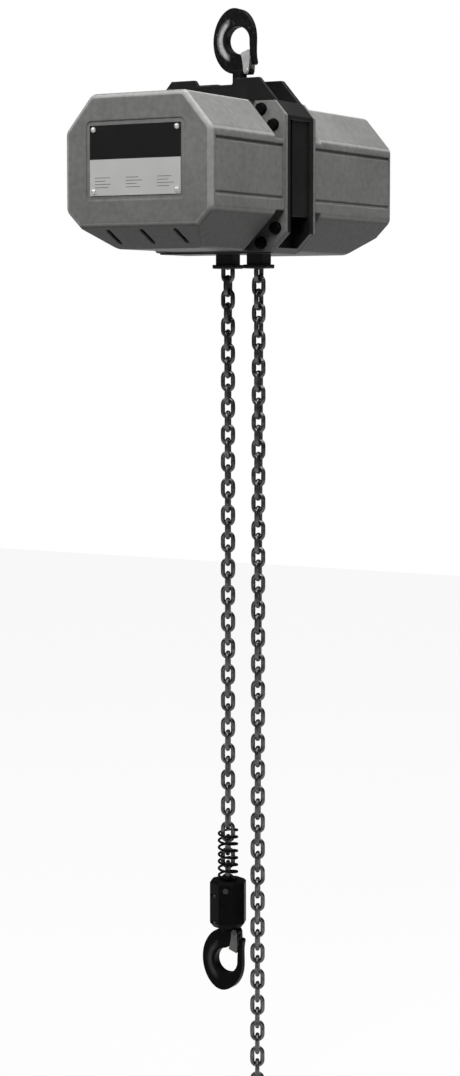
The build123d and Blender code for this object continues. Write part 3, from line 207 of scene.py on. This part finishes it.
# The covers' flat sides, each standing for its opposite too: side, end, top, upper and lower chamfers, and
# the facets at the foot of the ends
FLATS = ((1, 0, 0), (0, 1, 0), (0, 0, 1), (0.763, 0, 0.646), (-0.763, 0, 0.646), (0.711, 0, -0.704),
         (-0.711, 0, -0.704), (0, 0.463, 0.886), (0, -0.463, 0.886))
FLAT_FROM = 0.992           # cosine to a flat side's normal above which a surface counts as flat
HIGHLIGHT_GAIN, HIGHLIGHT_MOST = 22.0, 0.62     # how fast the painted highlight comes in on rounded edges, and its most
HIGHLIGHT_BASE = 0.55             # added to the pits' noise, which breaks the painted highlight up
SKIN_DARK, SKIN_LIGHT = (0.86, 0.86, 0.86), (1.08, 1.08, 1.08)
PIT_SHARE = 0.35            # height of the pits beside that of the dents


def cast_paint(name, colour):
    """Paint over a sand casting: a pitted skin, darker in the pits, and a painted highlight that makes
    rounded edges lighter.
    """
    material = finish(name, colour, rough=0.45, spread=0.05, mottle=9.0, variety=0.10, grain=1100.0,
                      relief=0.03, specular=0.15)
    graph, shader, coordinates = opened(material)
    pits = noise(graph, coordinates, 120.0, 6.0, 0.6)
    dents = noise(graph, coordinates, 38.0, 3.0, 0.5)
    skin = ramp(graph, pits, SKIN_DARK, SKIN_LIGHT, 0.34, 0.66)
    pitted = mixed(graph, 1.0, feed(shader, "Base Color"), skin, "MULTIPLY")
    true_normal = graph.add("ShaderNodeNewGeometry").outputs["Normal"]
    flat = 0.0
    for side in FLATS:
        facing = graph.add("ShaderNodeVectorMath")
        facing.operation = "DOT_PRODUCT"
        facing.inputs[1].default_value = Vector(side).normalized()
        graph.link(true_normal, facing.inputs[0])
        flat = graph.math("MAXIMUM", flat, graph.math("ABSOLUTE", facing.outputs["Value"]))
    # Painted highlight: the rounded edges, which face none of the flat sides, are mixed towards a lighter
    # colour
    highlight_mask = graph.math("MULTIPLY", graph.math("SUBTRACT", FLAT_FROM, flat), HIGHLIGHT_GAIN)
    highlight_mask = graph.math("MULTIPLY", graph.limited(highlight_mask, HIGHLIGHT_MOST), graph.math("ADD", HIGHLIGHT_BASE, pits))
    painted = mixed(graph, highlight_mask, pitted, (*shade(colour, 2.0), 1))
    graph.link(painted, shader.inputs["Base Color"])
    height = graph.math("ADD", dents, graph.math("MULTIPLY", pits, PIT_SHARE))
    rough_skin = raised(graph, height, 0.5, 0.35, softened(graph, 3.0))
    graph.link(rough_skin, feed(shader, "Normal").node.inputs["Normal"])
    return material


def turned(name, colour):
    """Machined metal with fine turning lines along Y."""
    material = finish(name, colour, metallic=1.0, rough=0.3, spread=0.05, mottle=40.0, variety=0.05,
                      grain=600.0, relief=0.01, soft_edge=0.3)
    graph, shader, coordinates = opened(material)
    lines = graph.add("ShaderNodeTexWave")
    lines.bands_direction = "Y"
    lines.inputs["Scale"].default_value = 420.0
    lines.inputs["Distortion"].default_value = 0.6
    graph.link(coordinates, lines.inputs["Vector"])
    scored = raised(graph, lines.outputs["Fac"], 0.25, 0.01, feed(shader, "Normal"))
    graph.link(scored, shader.inputs["Normal"])
    return material


PLATE_SPLIT = 0.515         # share of the plate's height that lies below the black field
BLACK_PRINT = (0.006, 0.006, 0.0065, 1)


def plate_print(low_z, high_z):
    """Aluminium plate printed black above and left bare below."""
    material = finish("plate_print", (0.66, 0.66, 0.65), metallic=0.15, rough=0.36, spread=0.03, mottle=30.0,
                      variety=0.03, grain=1500.0, relief=0.004)
    graph, shader, coordinates = opened(material)
    parts = graph.add("ShaderNodeSeparateXYZ")
    graph.link(coordinates, parts.inputs[0])
    above = graph.math("GREATER_THAN", parts.outputs["Z"], low_z + PLATE_SPLIT * (high_z - low_z))
    printed = mixed(graph, above, feed(shader, "Base Color"), BLACK_PRINT)
    graph.link(printed, shader.inputs["Base Color"])
    return material


FORGED = (0.004, 0.004, 0.004)
# light grey of the painted reflection on a hook's recessed crescent
PAINTED_SHEEN = (0.55, 0.55, 0.54, 1)
BAND_MIDDLE, BAND_HALF = 27.7 * MM, 5.2 * MM    # radius of the painted reflection band's middle, and its half width
BACK_FROM, BACK_RUN = 11.0 * MM, 9.0 * MM       # where it starts behind the bowl's centre, and its fade
BAND_MOST = 0.6             # caps the band's profile, so that its middle is even


def forging_wear_and_sheen(name, centre, amount, flecks, specular):
    """Black forging with worn flecks and a painted reflection: a crescent on the bowl's back, in the recessed
    web, painted bright.
    """
    material = finish(name, FORGED, rough=0.42, spread=0.08, mottle=90.0, variety=0.35, grain=420.0,
                      relief=0.16, soft_edge=1.2, wear=((flecks, flecks, flecks), 240.0), specular=specular)
    graph, shader, coordinates = opened(material)
    parts = graph.add("ShaderNodeSeparateXYZ")
    graph.link(coordinates, parts.inputs[0])
    across = graph.math("SUBTRACT", parts.outputs["X"], centre[0])
    along = graph.math("SUBTRACT", parts.outputs["Z"], centre[1])
    square = graph.math("ADD", graph.math("MULTIPLY", across, across), graph.math("MULTIPLY", along, along))
    off_middle = graph.math("ABSOLUTE", graph.math("SUBTRACT", graph.math("SQRT", square), BAND_MIDDLE))
    band = graph.math("SUBTRACT", 1.0, graph.math("DIVIDE", off_middle, BAND_HALF))
    back = graph.math("DIVIDE", graph.math("SUBTRACT", -BACK_FROM, across), BACK_RUN)
    highlight_mask = graph.math("MULTIPLY", graph.limited(band, BAND_MOST), graph.limited(back, 1.0))
    patchy = graph.math("MULTIPLY", noise(graph, coordinates, 210.0, 6.0, 0.75), amount)
    # Painted reflection: the band is mixed towards a light grey and broken up by noise
    bright = mixed(graph, graph.math("MULTIPLY", highlight_mask, patchy), feed(shader, "Base Color"), PAINTED_SHEEN)
    graph.link(bright, shader.inputs["Base Color"])
    return material


# ------------------------------------------------------------ finishes
FINISHES = {
    "casing_paint": cast_paint("casing_paint", (0.21, 0.21, 0.205)),
    "frame_paint": finish("frame_paint", (0.009, 0.0095, 0.009), rough=0.40, mottle=30.0, variety=0.25,
                          grain=700.0, relief=0.08, soft_edge=1.6, specular=0.25),
    "forged_black": finish("forged_black", FORGED, rough=0.45, spread=0.08, mottle=90.0,
                           variety=0.35, grain=420.0, relief=0.16, soft_edge=1.2,
                           wear=((0.014, 0.014, 0.014), 160.0), specular=0.05),
    "chain_steel": finish("chain_steel", (0.105, 0.105, 0.103), metallic=0.88, rough=0.30, spread=0.08,
                          mottle=170.0, variety=0.55, relief=0.05),
    "zinc": finish("zinc", (0.66, 0.66, 0.65), metallic=0.55, rough=0.36, mottle=90.0, variety=0.12,
                   grain=800.0, soft_edge=0.4),
    "bright_steel": turned("bright_steel", (0.45, 0.45, 0.45)),
    "gearcase_cast": finish("gearcase_cast", (0.36, 0.36, 0.355), metallic=0.7, rough=0.50, mottle=60.0,
                            variety=0.10, grain=700.0, relief=0.08, soft_edge=1.0),
    "gasket": finish("gasket", (0.02, 0.02, 0.02), rough=0.8, spread=0.05),
    "copper": finish("copper", (0.42, 0.16, 0.06), metallic=0.9, rough=0.35, mottle=300.0, variety=0.2,
                     grain=1500.0, relief=0.08),
    "lamination": finish("lamination", (0.12, 0.12, 0.125), metallic=0.8, rough=0.45, spread=0.05,
                         mottle=80.0, variety=0.1, grain=1400.0, relief=0.03),
    "dark_plastic": finish("dark_plastic", (0.03, 0.03, 0.033), rough=0.5, spread=0.04, mottle=40.0,
                           variety=0.08, grain=1200.0, soft_edge=0.6),
    "friction": finish("friction", (0.11, 0.08, 0.06), rough=0.85, spread=0.05, mottle=400.0, variety=0.35,
                       grain=1500.0, relief=0.06),
    "black_rubber": finish("black_rubber", (0.016, 0.016, 0.016), rough=0.62, spread=0.05, mottle=60.0,
                           variety=0.15, relief=0.05, soft_edge=1.0),
}
plate_low, plate_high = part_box("nameplate")
FINISHES["plate_print"] = plate_print(plate_low[2], plate_high[2])

SLOT_OF = {part["node"]: part["material_slot"] for part in frame["record"]["subparts"]}
for node_name, node in NODES.items():
    node.data.materials.clear()
    node.data.materials.append(FINISHES[SLOT_OF[node_name]])

# Pieces whose finish differs from the rest of their slot
BOWL_R = 18.5 * MM
CROWN = 25.3 * MM             # from a hook's bearing point to its outer end
load_x = sum(corner[0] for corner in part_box("load_chain")) / 2
bottom_bowl = (load_x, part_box("bottom_hook")[0][2] + CROWN + BOWL_R)
OWN_FINISHES = {
    "block_screws": finish("screw_black", (0.03, 0.03, 0.03), metallic=0.5, rough=0.35, spread=0.05),
    "chain_pin": finish("pin_black", (0.035, 0.035, 0.035), metallic=0.4, rough=0.40, spread=0.05),
    # The lower latch and its pin take darker copies of the zinc: painted shade for the lower hook hanging in
    # shade
    "bottom_latch": finish("zinc_dull", (0.16, 0.16, 0.155), metallic=0.3, rough=0.45, mottle=90.0,
                           variety=0.15),
    "bottom_latch_pin": finish("pin_dull", (0.08, 0.08, 0.08), metallic=0.3, rough=0.45, mottle=90.0,
                               variety=0.15),
    # Both hooks get worn flecks and a painted reflection band, strong on the top hook and faint on the bottom
    # one
    "top_hook": forging_wear_and_sheen("top_hook_worn", (0.0, -BOWL_R), amount=3.0, flecks=0.10, specular=0.14),
    "bottom_hook": forging_wear_and_sheen("bottom_hook_worn", bottom_bowl, amount=0.4, flecks=0.02, specular=0.05),
}
for node_name, material in OWN_FINISHES.items():
    NODES[node_name].data.materials[0] = material


# ------------------------------------------------------------ geometry helpers
def new_object(name, mesh, material=None):
    """A mesh object in the scene."""
    piece = bpy.data.objects.new(name, mesh)
    bpy.context.scene.collection.objects.link(piece)
    if material:
        mesh.materials.clear()
        mesh.materials.append(material)
    return piece


def smooth(mesh, angle):
    """Smooth shading, with edges sharper than an angle in degrees kept sharp."""
    mesh.shade_smooth()
    mesh.set_sharp_from_angle(angle=radians(angle))


def modifier_input(modifier, name, value):
    """Set a Geometry Nodes input by its socket's identifier."""
    for item in modifier.node_group.interface.items_tree:
        if item.item_type == "SOCKET" and item.in_out == "INPUT" and item.name == name:
            modifier[item.identifier] = value
            return
    raise KeyError(name)


def baked(name, mesh, tree, settings, material, angle=40.0):
    """Run a Geometry Nodes tree on a mesh and keep the result as a plain mesh object."""
    source = new_object(name + "_source", mesh)
    modifier = source.modifiers.new("build", "NODES")
    modifier.node_group = tree
    for key, value in settings.items():
        modifier_input(modifier, key, value)
    bpy.context.view_layer.update()
    graph = bpy.context.evaluated_depsgraph_get()
    result = bpy.data.meshes.new_from_object(source.evaluated_get(graph), depsgraph=graph)
    bpy.data.objects.remove(source)
    smooth(result, angle)
    return new_object(name, result, material)


SOCKETS = {"float": "NodeSocketFloat", "int": "NodeSocketInt", "vector": "NodeSocketVector",
           "material": "NodeSocketMaterial"}


def group(name, inputs):
    """New Geometry Nodes group with a geometry input, named inputs and a geometry output."""
    tree = bpy.data.node_groups.new(name, "GeometryNodeTree")
    tree.interface.new_socket("Geometry", in_out="INPUT", socket_type="NodeSocketGeometry")
    for key, kind in inputs.items():
        tree.interface.new_socket(key, in_out="INPUT", socket_type=SOCKETS[kind])
    tree.interface.new_socket("Geometry", in_out="OUTPUT", socket_type="NodeSocketGeometry")
    graph = Graph(tree)
    return tree, graph, graph.add("NodeGroupInput").outputs, graph.add("NodeGroupOutput").inputs


def painted_out(graph, geometry, inputs, outputs):
    """End of a tree: real geometry in its finish."""
    real = graph.add("GeometryNodeRealizeInstances")
    graph.link(geometry, real.inputs[0])
    paint = graph.add("GeometryNodeSetMaterial")
    graph.link(real.outputs[0], paint.inputs["Geometry"])
    graph.link(inputs["Finish"], paint.inputs["Material"])
    graph.link(paint.outputs[0], outputs[0])


# ------------------------------------------------------------ chain links
WIRE, PITCH, LINK_WIDTH = 6.3 * MM, 19.1 * MM, 21.0 * MM
CHAIN_PLAY = 0.1 * MM
WELD_SWELL = 0.05           # the wire is thicker by this share at the weld
WELD_REACH = 0.34           # the swelling's share of a straight leg
LINK_SIDES, BEND_STEPS = 12, 10


def link_mesh():
    """One welded link standing in the XZ plane, with a slight swelling at its weld."""
    bend = (LINK_WIDTH - WIRE) / 2
    straight = (PITCH + CHAIN_PLAY + WIRE - 2 * bend) / 2
    path = []
    for side in (1, -1):
        for step in range(BEND_STEPS + 1):
            angle = pi * step / BEND_STEPS
            x, z = bend * cos(angle), straight + bend * sin(angle)
            path.append((side * x, side * z, side * cos(angle), side * sin(angle), 0.0))
        swell = WELD_SWELL if side > 0 else 0.0
        for end in (side, -side):
            path.append((-side * bend, end * straight * WELD_REACH, -side, 0.0, swell))
    vertices, faces = [], []
    for x, z, nx, nz, swell in path:
        r = WIRE / 2 * (1 + swell)
        for k in range(LINK_SIDES):
            a = tau * k / LINK_SIDES
            vertices.append((x + nx * r * cos(a), r * sin(a), z + nz * r * cos(a)))
    count = len(path)
    for i in range(count):
        j = (i + 1) % count
        for k in range(LINK_SIDES):
            m = (k + 1) % LINK_SIDES
            faces.append((i * LINK_SIDES + k, j * LINK_SIDES + k, j * LINK_SIDES + m, i * LINK_SIDES + m))
    mesh = bpy.data.meshes.new("link")
    mesh.from_pydata(vertices, [], faces)
    work = bmesh.new()
    work.from_mesh(mesh)
    bmesh.ops.recalc_face_normals(work, faces=work.faces)
    work.to_mesh(mesh)
    work.free()
    return mesh


def link_run_tree():
    """Links in a hanging run: each turns a quarter from the last, with a twist along the run."""
    tree, graph, inputs, outputs = group("link_run", {
        "Links": "int", "Top": "vector", "Step": "vector", "First Turn": "float", "Even Twist": "float",
        "Eased Twist": "float", "Ease Links": "float", "Twist Start": "float", "Finish": "material"})
    line = graph.add("GeometryNodeMeshLine")
    line.mode = "OFFSET"
    graph.link(inputs["Links"], line.inputs["Count"])
    graph.link(inputs["Top"], line.inputs["Start Location"])
    graph.link(inputs["Step"], line.inputs["Offset"])
    index = graph.add("GeometryNodeInputIndex").outputs[0]
    quarter = graph.math("MULTIPLY", graph.math("MODULO", index, 2.0), pi / 2)
    even = graph.math("MULTIPLY", index, inputs["Even Twist"])
    place = graph.math("MAXIMUM", graph.math("ADD", index, inputs["Twist Start"]), 0.0)
    share = graph.math("DIVIDE", place, inputs["Ease Links"])
    power = graph.math("EXPONENT", graph.math("MULTIPLY", share, -1.0))
    eased = graph.math("MULTIPLY", graph.math("SUBTRACT", 1.0, power), inputs["Eased Twist"])
    turn = graph.math("ADD", graph.math("ADD", quarter, even), graph.math("ADD", eased, inputs["First Turn"]))
    angles = graph.add("ShaderNodeCombineXYZ")
    graph.link(turn, angles.inputs["Z"])
    copies = graph.add("GeometryNodeInstanceOnPoints")
    graph.link(line.outputs[0], copies.inputs["Points"])
    graph.link(inputs["Geometry"], copies.inputs["Instance"])
    graph.link(angles.outputs[0], copies.inputs["Rotation"])
    painted_out(graph, copies.outputs[0], inputs, outputs)
    return tree


LINK_TREE = link_run_tree()
STEEL = FINISHES["chain_steel"]
# Links are counted down from the sheave. Both runs start below those that stay inside, and the load run's
# last ones ride on the hook block
INSIDE_LINKS, RIDING_FROM, LOAD_LINKS, TAIL_LINKS = 4, 48, 52, 68
TAIL_STEPS = TAIL_LINKS - 1 - INSIDE_LINKS
SHEAVE_Z = -235.0 * MM
LOAD_TWIST, TAIL_TWIST, EASE_LINKS = radians(22.0), radians(30.0), 8.0
QUARTER = pi / 2


def node_middle(name):
    """Middle of a CAD node's box."""
    low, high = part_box(name)
    return (Vector(low) + Vector(high)) / 2


slack_x = node_middle("slack_chain_guide").x
lean = (slack_x - node_middle("chain_stop").x) / TAIL_STEPS


def link_z(k):
    """Height of a link's middle."""
    return SHEAVE_Z - PITCH * (k + 0.5)


def link_run(name, stands_for, body, first, last, x, step_x=0.0, turn=0.0, even=0.0, eased=0.0):
    """Links first to last - 1 of a run, in place of a CAD node."""
    piece = baked(name, link_mesh(), LINK_TREE, {
        "Links": last - first, "Top": (x, 0.0, link_z(first)), "Step": (step_x, 0.0, -PITCH),
        "First Turn": turn, "Even Twist": even, "Eased Twist": eased, "Ease Links": EASE_LINKS,
        "Twist Start": float(first - INSIDE_LINKS), "Finish": STEEL}, STEEL, angle=60.0)
    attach(piece, body)
    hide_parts(stands_for)
    return piece


load_links = link_run("load_chain_links", "load_chain", "hoist", INSIDE_LINKS, RIDING_FROM, load_x,
                      turn=QUARTER, eased=LOAD_TWIST)
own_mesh(load_links)
link_run("hook_block_links", "load_chain_end", "hook_block", RIDING_FROM, LOAD_LINKS, load_x,
         turn=QUARTER, eased=LOAD_TWIST)
link_run("slack_chain_links", "slack_chain", "hoist", INSIDE_LINKS, TAIL_LINKS, slack_x,
         step_x=-lean, even=TAIL_TWIST / TAIL_STEPS)


# ------------------------------------------------------------ cushion spring
SPRING_WIRE, SPRING_TURNS = 3.5 * MM, 7.0
SPRING_STEPS, SPRING_SIDES = 28, 12     # along one turn, and round the wire


def spring_tree():
    """A coil spring of round wire, drawn along a spiral."""
    tree, graph, inputs, outputs = group("coil_spring", {
        "Foot": "vector", "Height": "float", "Radius": "float", "Turns": "float", "Wire": "float",
        "Finish": "material"})
    spiral = graph.add("GeometryNodeCurveSpiral")
    spiral.inputs["Resolution"].default_value = SPRING_STEPS
    graph.link(inputs["Turns"], spiral.inputs["Rotations"])
    graph.link(inputs["Radius"], spiral.inputs["Start Radius"])
    graph.link(inputs["Radius"], spiral.inputs["End Radius"])
    graph.link(inputs["Height"], spiral.inputs["Height"])
    circle = graph.add("GeometryNodeCurvePrimitiveCircle")
    circle.inputs["Resolution"].default_value = SPRING_SIDES
    graph.link(graph.math("MULTIPLY", inputs["Wire"], 0.5), circle.inputs["Radius"])
    solid = graph.add("GeometryNodeCurveToMesh")
    solid.inputs["Fill Caps"].default_value = True
    graph.link(spiral.outputs[0], solid.inputs["Curve"])
    graph.link(circle.outputs[0], solid.inputs["Profile Curve"])
    place = graph.add("GeometryNodeTransform")
    graph.link(solid.outputs[0], place.inputs["Geometry"])
    graph.link(inputs["Foot"], place.inputs["Translation"])
    painted_out(graph, place.outputs[0], inputs, outputs)
    return tree


spring_low, spring_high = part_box("cushion_spring")
spring = baked("cushion_spring_coil", bpy.data.meshes.new("empty"), spring_tree(), {
    "Foot": (load_x, 0.0, spring_low[2] + SPRING_WIRE / 2),
    "Height": spring_high[2] - spring_low[2] - SPRING_WIRE,
    "Radius": (spring_high[0] - spring_low[0] - SPRING_WIRE) / 2, "Turns": SPRING_TURNS,
    "Wire": SPRING_WIRE, "Finish": FINISHES["forged_black"]}, FINISHES["forged_black"], angle=60.0)
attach(spring, "hook_block")
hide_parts("cushion_spring")


# ------------------------------------------------------------ plate print rows
# Shares of the plate's width and height
RULE_LONG, RULE_HIGH = 0.185, 0.008
FIRST_X, FIRST_Z = 0.055, 0.115
COLUMN_STEP, ROW_STEP = 0.345, 0.046
LENGTH_MEAN, LENGTH_SWING, LENGTH_PHASE = 0.82, 0.18, 2.3     # the rules differ in length
INK_THICK = 0.06 * MM


def rows_tree():
    """Short printed rules in columns and rows."""
    tree, graph, inputs, outputs = group("printed_rows", {
        "Columns": "int", "Rows": "int", "Corner": "vector", "Column Step": "float", "Row Step": "float",
        "Finish": "material"})
    count = graph.math("MULTIPLY", inputs["Columns"], inputs["Rows"])
    line = graph.add("GeometryNodeMeshLine")
    line.mode = "OFFSET"
    line.inputs["Offset"].default_value = (0, 0, 0)
    graph.link(count, line.inputs["Count"])
    graph.link(inputs["Corner"], line.inputs["Start Location"])
    index = graph.add("GeometryNodeInputIndex").outputs[0]
    column = graph.math("FLOOR", graph.math("DIVIDE", graph.math("ADD", index, 0.5), inputs["Rows"]))
    row = graph.math("SUBTRACT", index, graph.math("MULTIPLY", column, inputs["Rows"]))
    shift = graph.add("ShaderNodeCombineXYZ")
    graph.link(graph.math("MULTIPLY", column, inputs["Column Step"]), shift.inputs["X"])
    graph.link(graph.math("MULTIPLY", row, inputs["Row Step"]), shift.inputs["Z"])
    move = graph.add("GeometryNodeSetPosition")
    graph.link(line.outputs[0], move.inputs["Geometry"])
    graph.link(shift.outputs[0], move.inputs["Offset"])
    wave = graph.math("SINE", graph.math("MULTIPLY", index, LENGTH_PHASE))
    length = graph.math("ADD", LENGTH_MEAN, graph.math("MULTIPLY", wave, LENGTH_SWING))
    size = graph.add("ShaderNodeCombineXYZ")
    size.inputs["Y"].default_value = 1.0
    size.inputs["Z"].default_value = 1.0
    graph.link(length, size.inputs["X"])
    copies = graph.add("GeometryNodeInstanceOnPoints")
    graph.link(move.outputs[0], copies.inputs["Points"])
    graph.link(inputs["Geometry"], copies.inputs["Instance"])
    graph.link(size.outputs[0], copies.inputs["Scale"])
    painted_out(graph, copies.outputs[0], inputs, outputs)
    return tree


def box_mesh(name, size, centre):
    """A plain box."""
    work = bmesh.new()
    bmesh.ops.create_cube(work, size=1.0)
    bmesh.ops.scale(work, vec=size, verts=work.verts)
    bmesh.ops.translate(work, vec=centre, verts=work.verts)
    mesh = bpy.data.meshes.new(name)
    work.to_mesh(mesh)
    work.free()
    return mesh


INK = finish("plate_ink", (0.10, 0.10, 0.105), rough=0.5, spread=0.02, mottle=50.0, variety=0.02,
             grain=1500.0, relief=0.002)
plate_w, plate_h = plate_high[0] - plate_low[0], plate_high[2] - plate_low[2]
rule_size = (RULE_LONG * plate_w, INK_THICK, RULE_HIGH * plate_h)
rule = box_mesh("rule", rule_size, (rule_size[0] / 2, 0, 0))
first_corner = (plate_low[0] + FIRST_X * plate_w, plate_low[1] - INK_THICK / 2,
                plate_low[2] + FIRST_Z * plate_h)
rows = baked("plate_rows", rule, rows_tree(), {
    "Columns": 3, "Rows": 4, "Corner": first_corner, "Column Step": COLUMN_STEP * plate_w,
    "Row Step": ROW_STEP * plate_h, "Finish": INK}, INK)
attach(rows, "hoist")


# ------------------------------------------------------------ stage, lamps and camera
FLOOR_SIZE, FLOOR_BELOW = (14, 14, 0.02), 0.06
FLOOR_GREY, FLOOR_LIGHTER = 0.12, 0.80      # the floor throws little light, and is pale where it is seen
FLOOR_GLOW = 0.93                           # the white share of the floor where it is seen
DIM = (0.08, 0.08, 0.08, 1)
BODY_MIDDLE = (-0.02, 0.03, -0.22)
LAMPS = (("key", (-1.5, -1.3, 1.5), 1.2, 34), ("overhead", (0.5, 0.4, 1.7), 1.6, 46),
         ("front", (1.0, -2.5, 1.7), 1.2, 58), ("right", (2.0, 0.2, 2.0), 1.0, 28))
CAMERA_AT, CAMERA_ALONG = (1.6322, -2.8542, -0.40435), (-0.49778, 0.86217, -0.09422)
SENSOR_HEIGHT, LENS = 24.0, 51.79


def floor():
    """Pale floor that looks white and hardly lights the hoist."""
    low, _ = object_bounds()
    mesh = box_mesh("floor", FLOOR_SIZE, (0, 0, low[2] - FLOOR_BELOW))
    material = bpy.data.materials.new("floor_pale")
    material.use_nodes = True
    graph = Graph(material.node_tree)
    nodes = material.node_tree.nodes
    shader = nodes["Principled BSDF"]
    shader.inputs["Roughness"].default_value = 0.9
    glow = graph.add("ShaderNodeEmission")
    path = graph.add("ShaderNodeLightPath").outputs
    seen = graph.math("MAXIMUM", graph.math("MAXIMUM", path["Is Camera Ray"], path["Is Glossy Ray"]),
                      path["Is Transmission Ray"])
    grey = graph.add("ShaderNodeCombineColor")
    for channel in grey.inputs:
        graph.link(graph.math("ADD", FLOOR_GREY, graph.math("MULTIPLY", seen, FLOOR_LIGHTER)), channel)
    graph.link(grey.outputs[0], shader.inputs["Base Color"])
    mix = graph.add("ShaderNodeMixShader")
    graph.link(graph.math("MULTIPLY", seen, FLOOR_GLOW), mix.inputs[0])
    graph.link(shader.outputs[0], mix.inputs[1])
    graph.link(glow.outputs[0], mix.inputs[2])
    graph.link(mix.outputs[0], nodes["Material Output"].inputs["Surface"])
    piece = new_object("floor", mesh, material)
    piece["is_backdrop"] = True


def surroundings():
    """White where the camera sees it, dim for everything else."""
    world = bpy.data.worlds.new("studio")
    bpy.context.scene.world = world
    world.use_nodes = True
    graph = Graph(world.node_tree)
    path = graph.add("ShaderNodeLightPath").outputs
    seen = graph.math("MAXIMUM", path["Is Camera Ray"], path["Is Transmission Ray"])
    white, dim = graph.add("ShaderNodeBackground"), world.node_tree.nodes["Background"]
    white.inputs["Color"].default_value = (1, 1, 1, 1)
    dim.inputs["Color"].default_value = DIM
    mix = graph.add("ShaderNodeMixShader")
    graph.link(seen, mix.inputs[0])
    graph.link(dim.outputs[0], mix.inputs[1])
    graph.link(white.outputs[0], mix.inputs[2])
    graph.link(mix.outputs[0], world.node_tree.nodes["World Output"].inputs["Surface"])


def lamp(name, place, size, power):
    """A square area lamp aimed at the middle of the body."""
    light = bpy.data.lights.new(name, "AREA")
    light.size = size
    light.energy = power
    holder = bpy.data.objects.new(name, light)
    bpy.context.scene.collection.objects.link(holder)
    holder.location = place
    holder.rotation_euler = (Vector(BODY_MIDDLE) - Vector(place)).to_track_quat("-Z", "Y").to_euler()


def camera():
    """The main camera, upright, looking along CAMERA_ALONG."""
    lens = bpy.data.cameras.new("camera")
    lens.sensor_fit = "VERTICAL"
    lens.sensor_height = SENSOR_HEIGHT
    lens.lens = LENS
    lens.clip_end = 60.0
    holder = bpy.data.objects.new("camera", lens)
    bpy.context.scene.collection.objects.link(holder)
    forward = Vector(CAMERA_ALONG).normalized()
    right = forward.cross(Vector((0, 0, 1))).normalized()
    up = right.cross(forward).normalized()
    turn = Matrix((right, up, -forward)).transposed().to_4x4()
    holder.matrix_world = Matrix.Translation(CAMERA_AT) @ turn
    bpy.context.scene.camera = holder


floor()
surroundings()
for settings in LAMPS:
    lamp(*settings)
camera()
bpy.context.scene.view_settings.view_transform = "Standard"
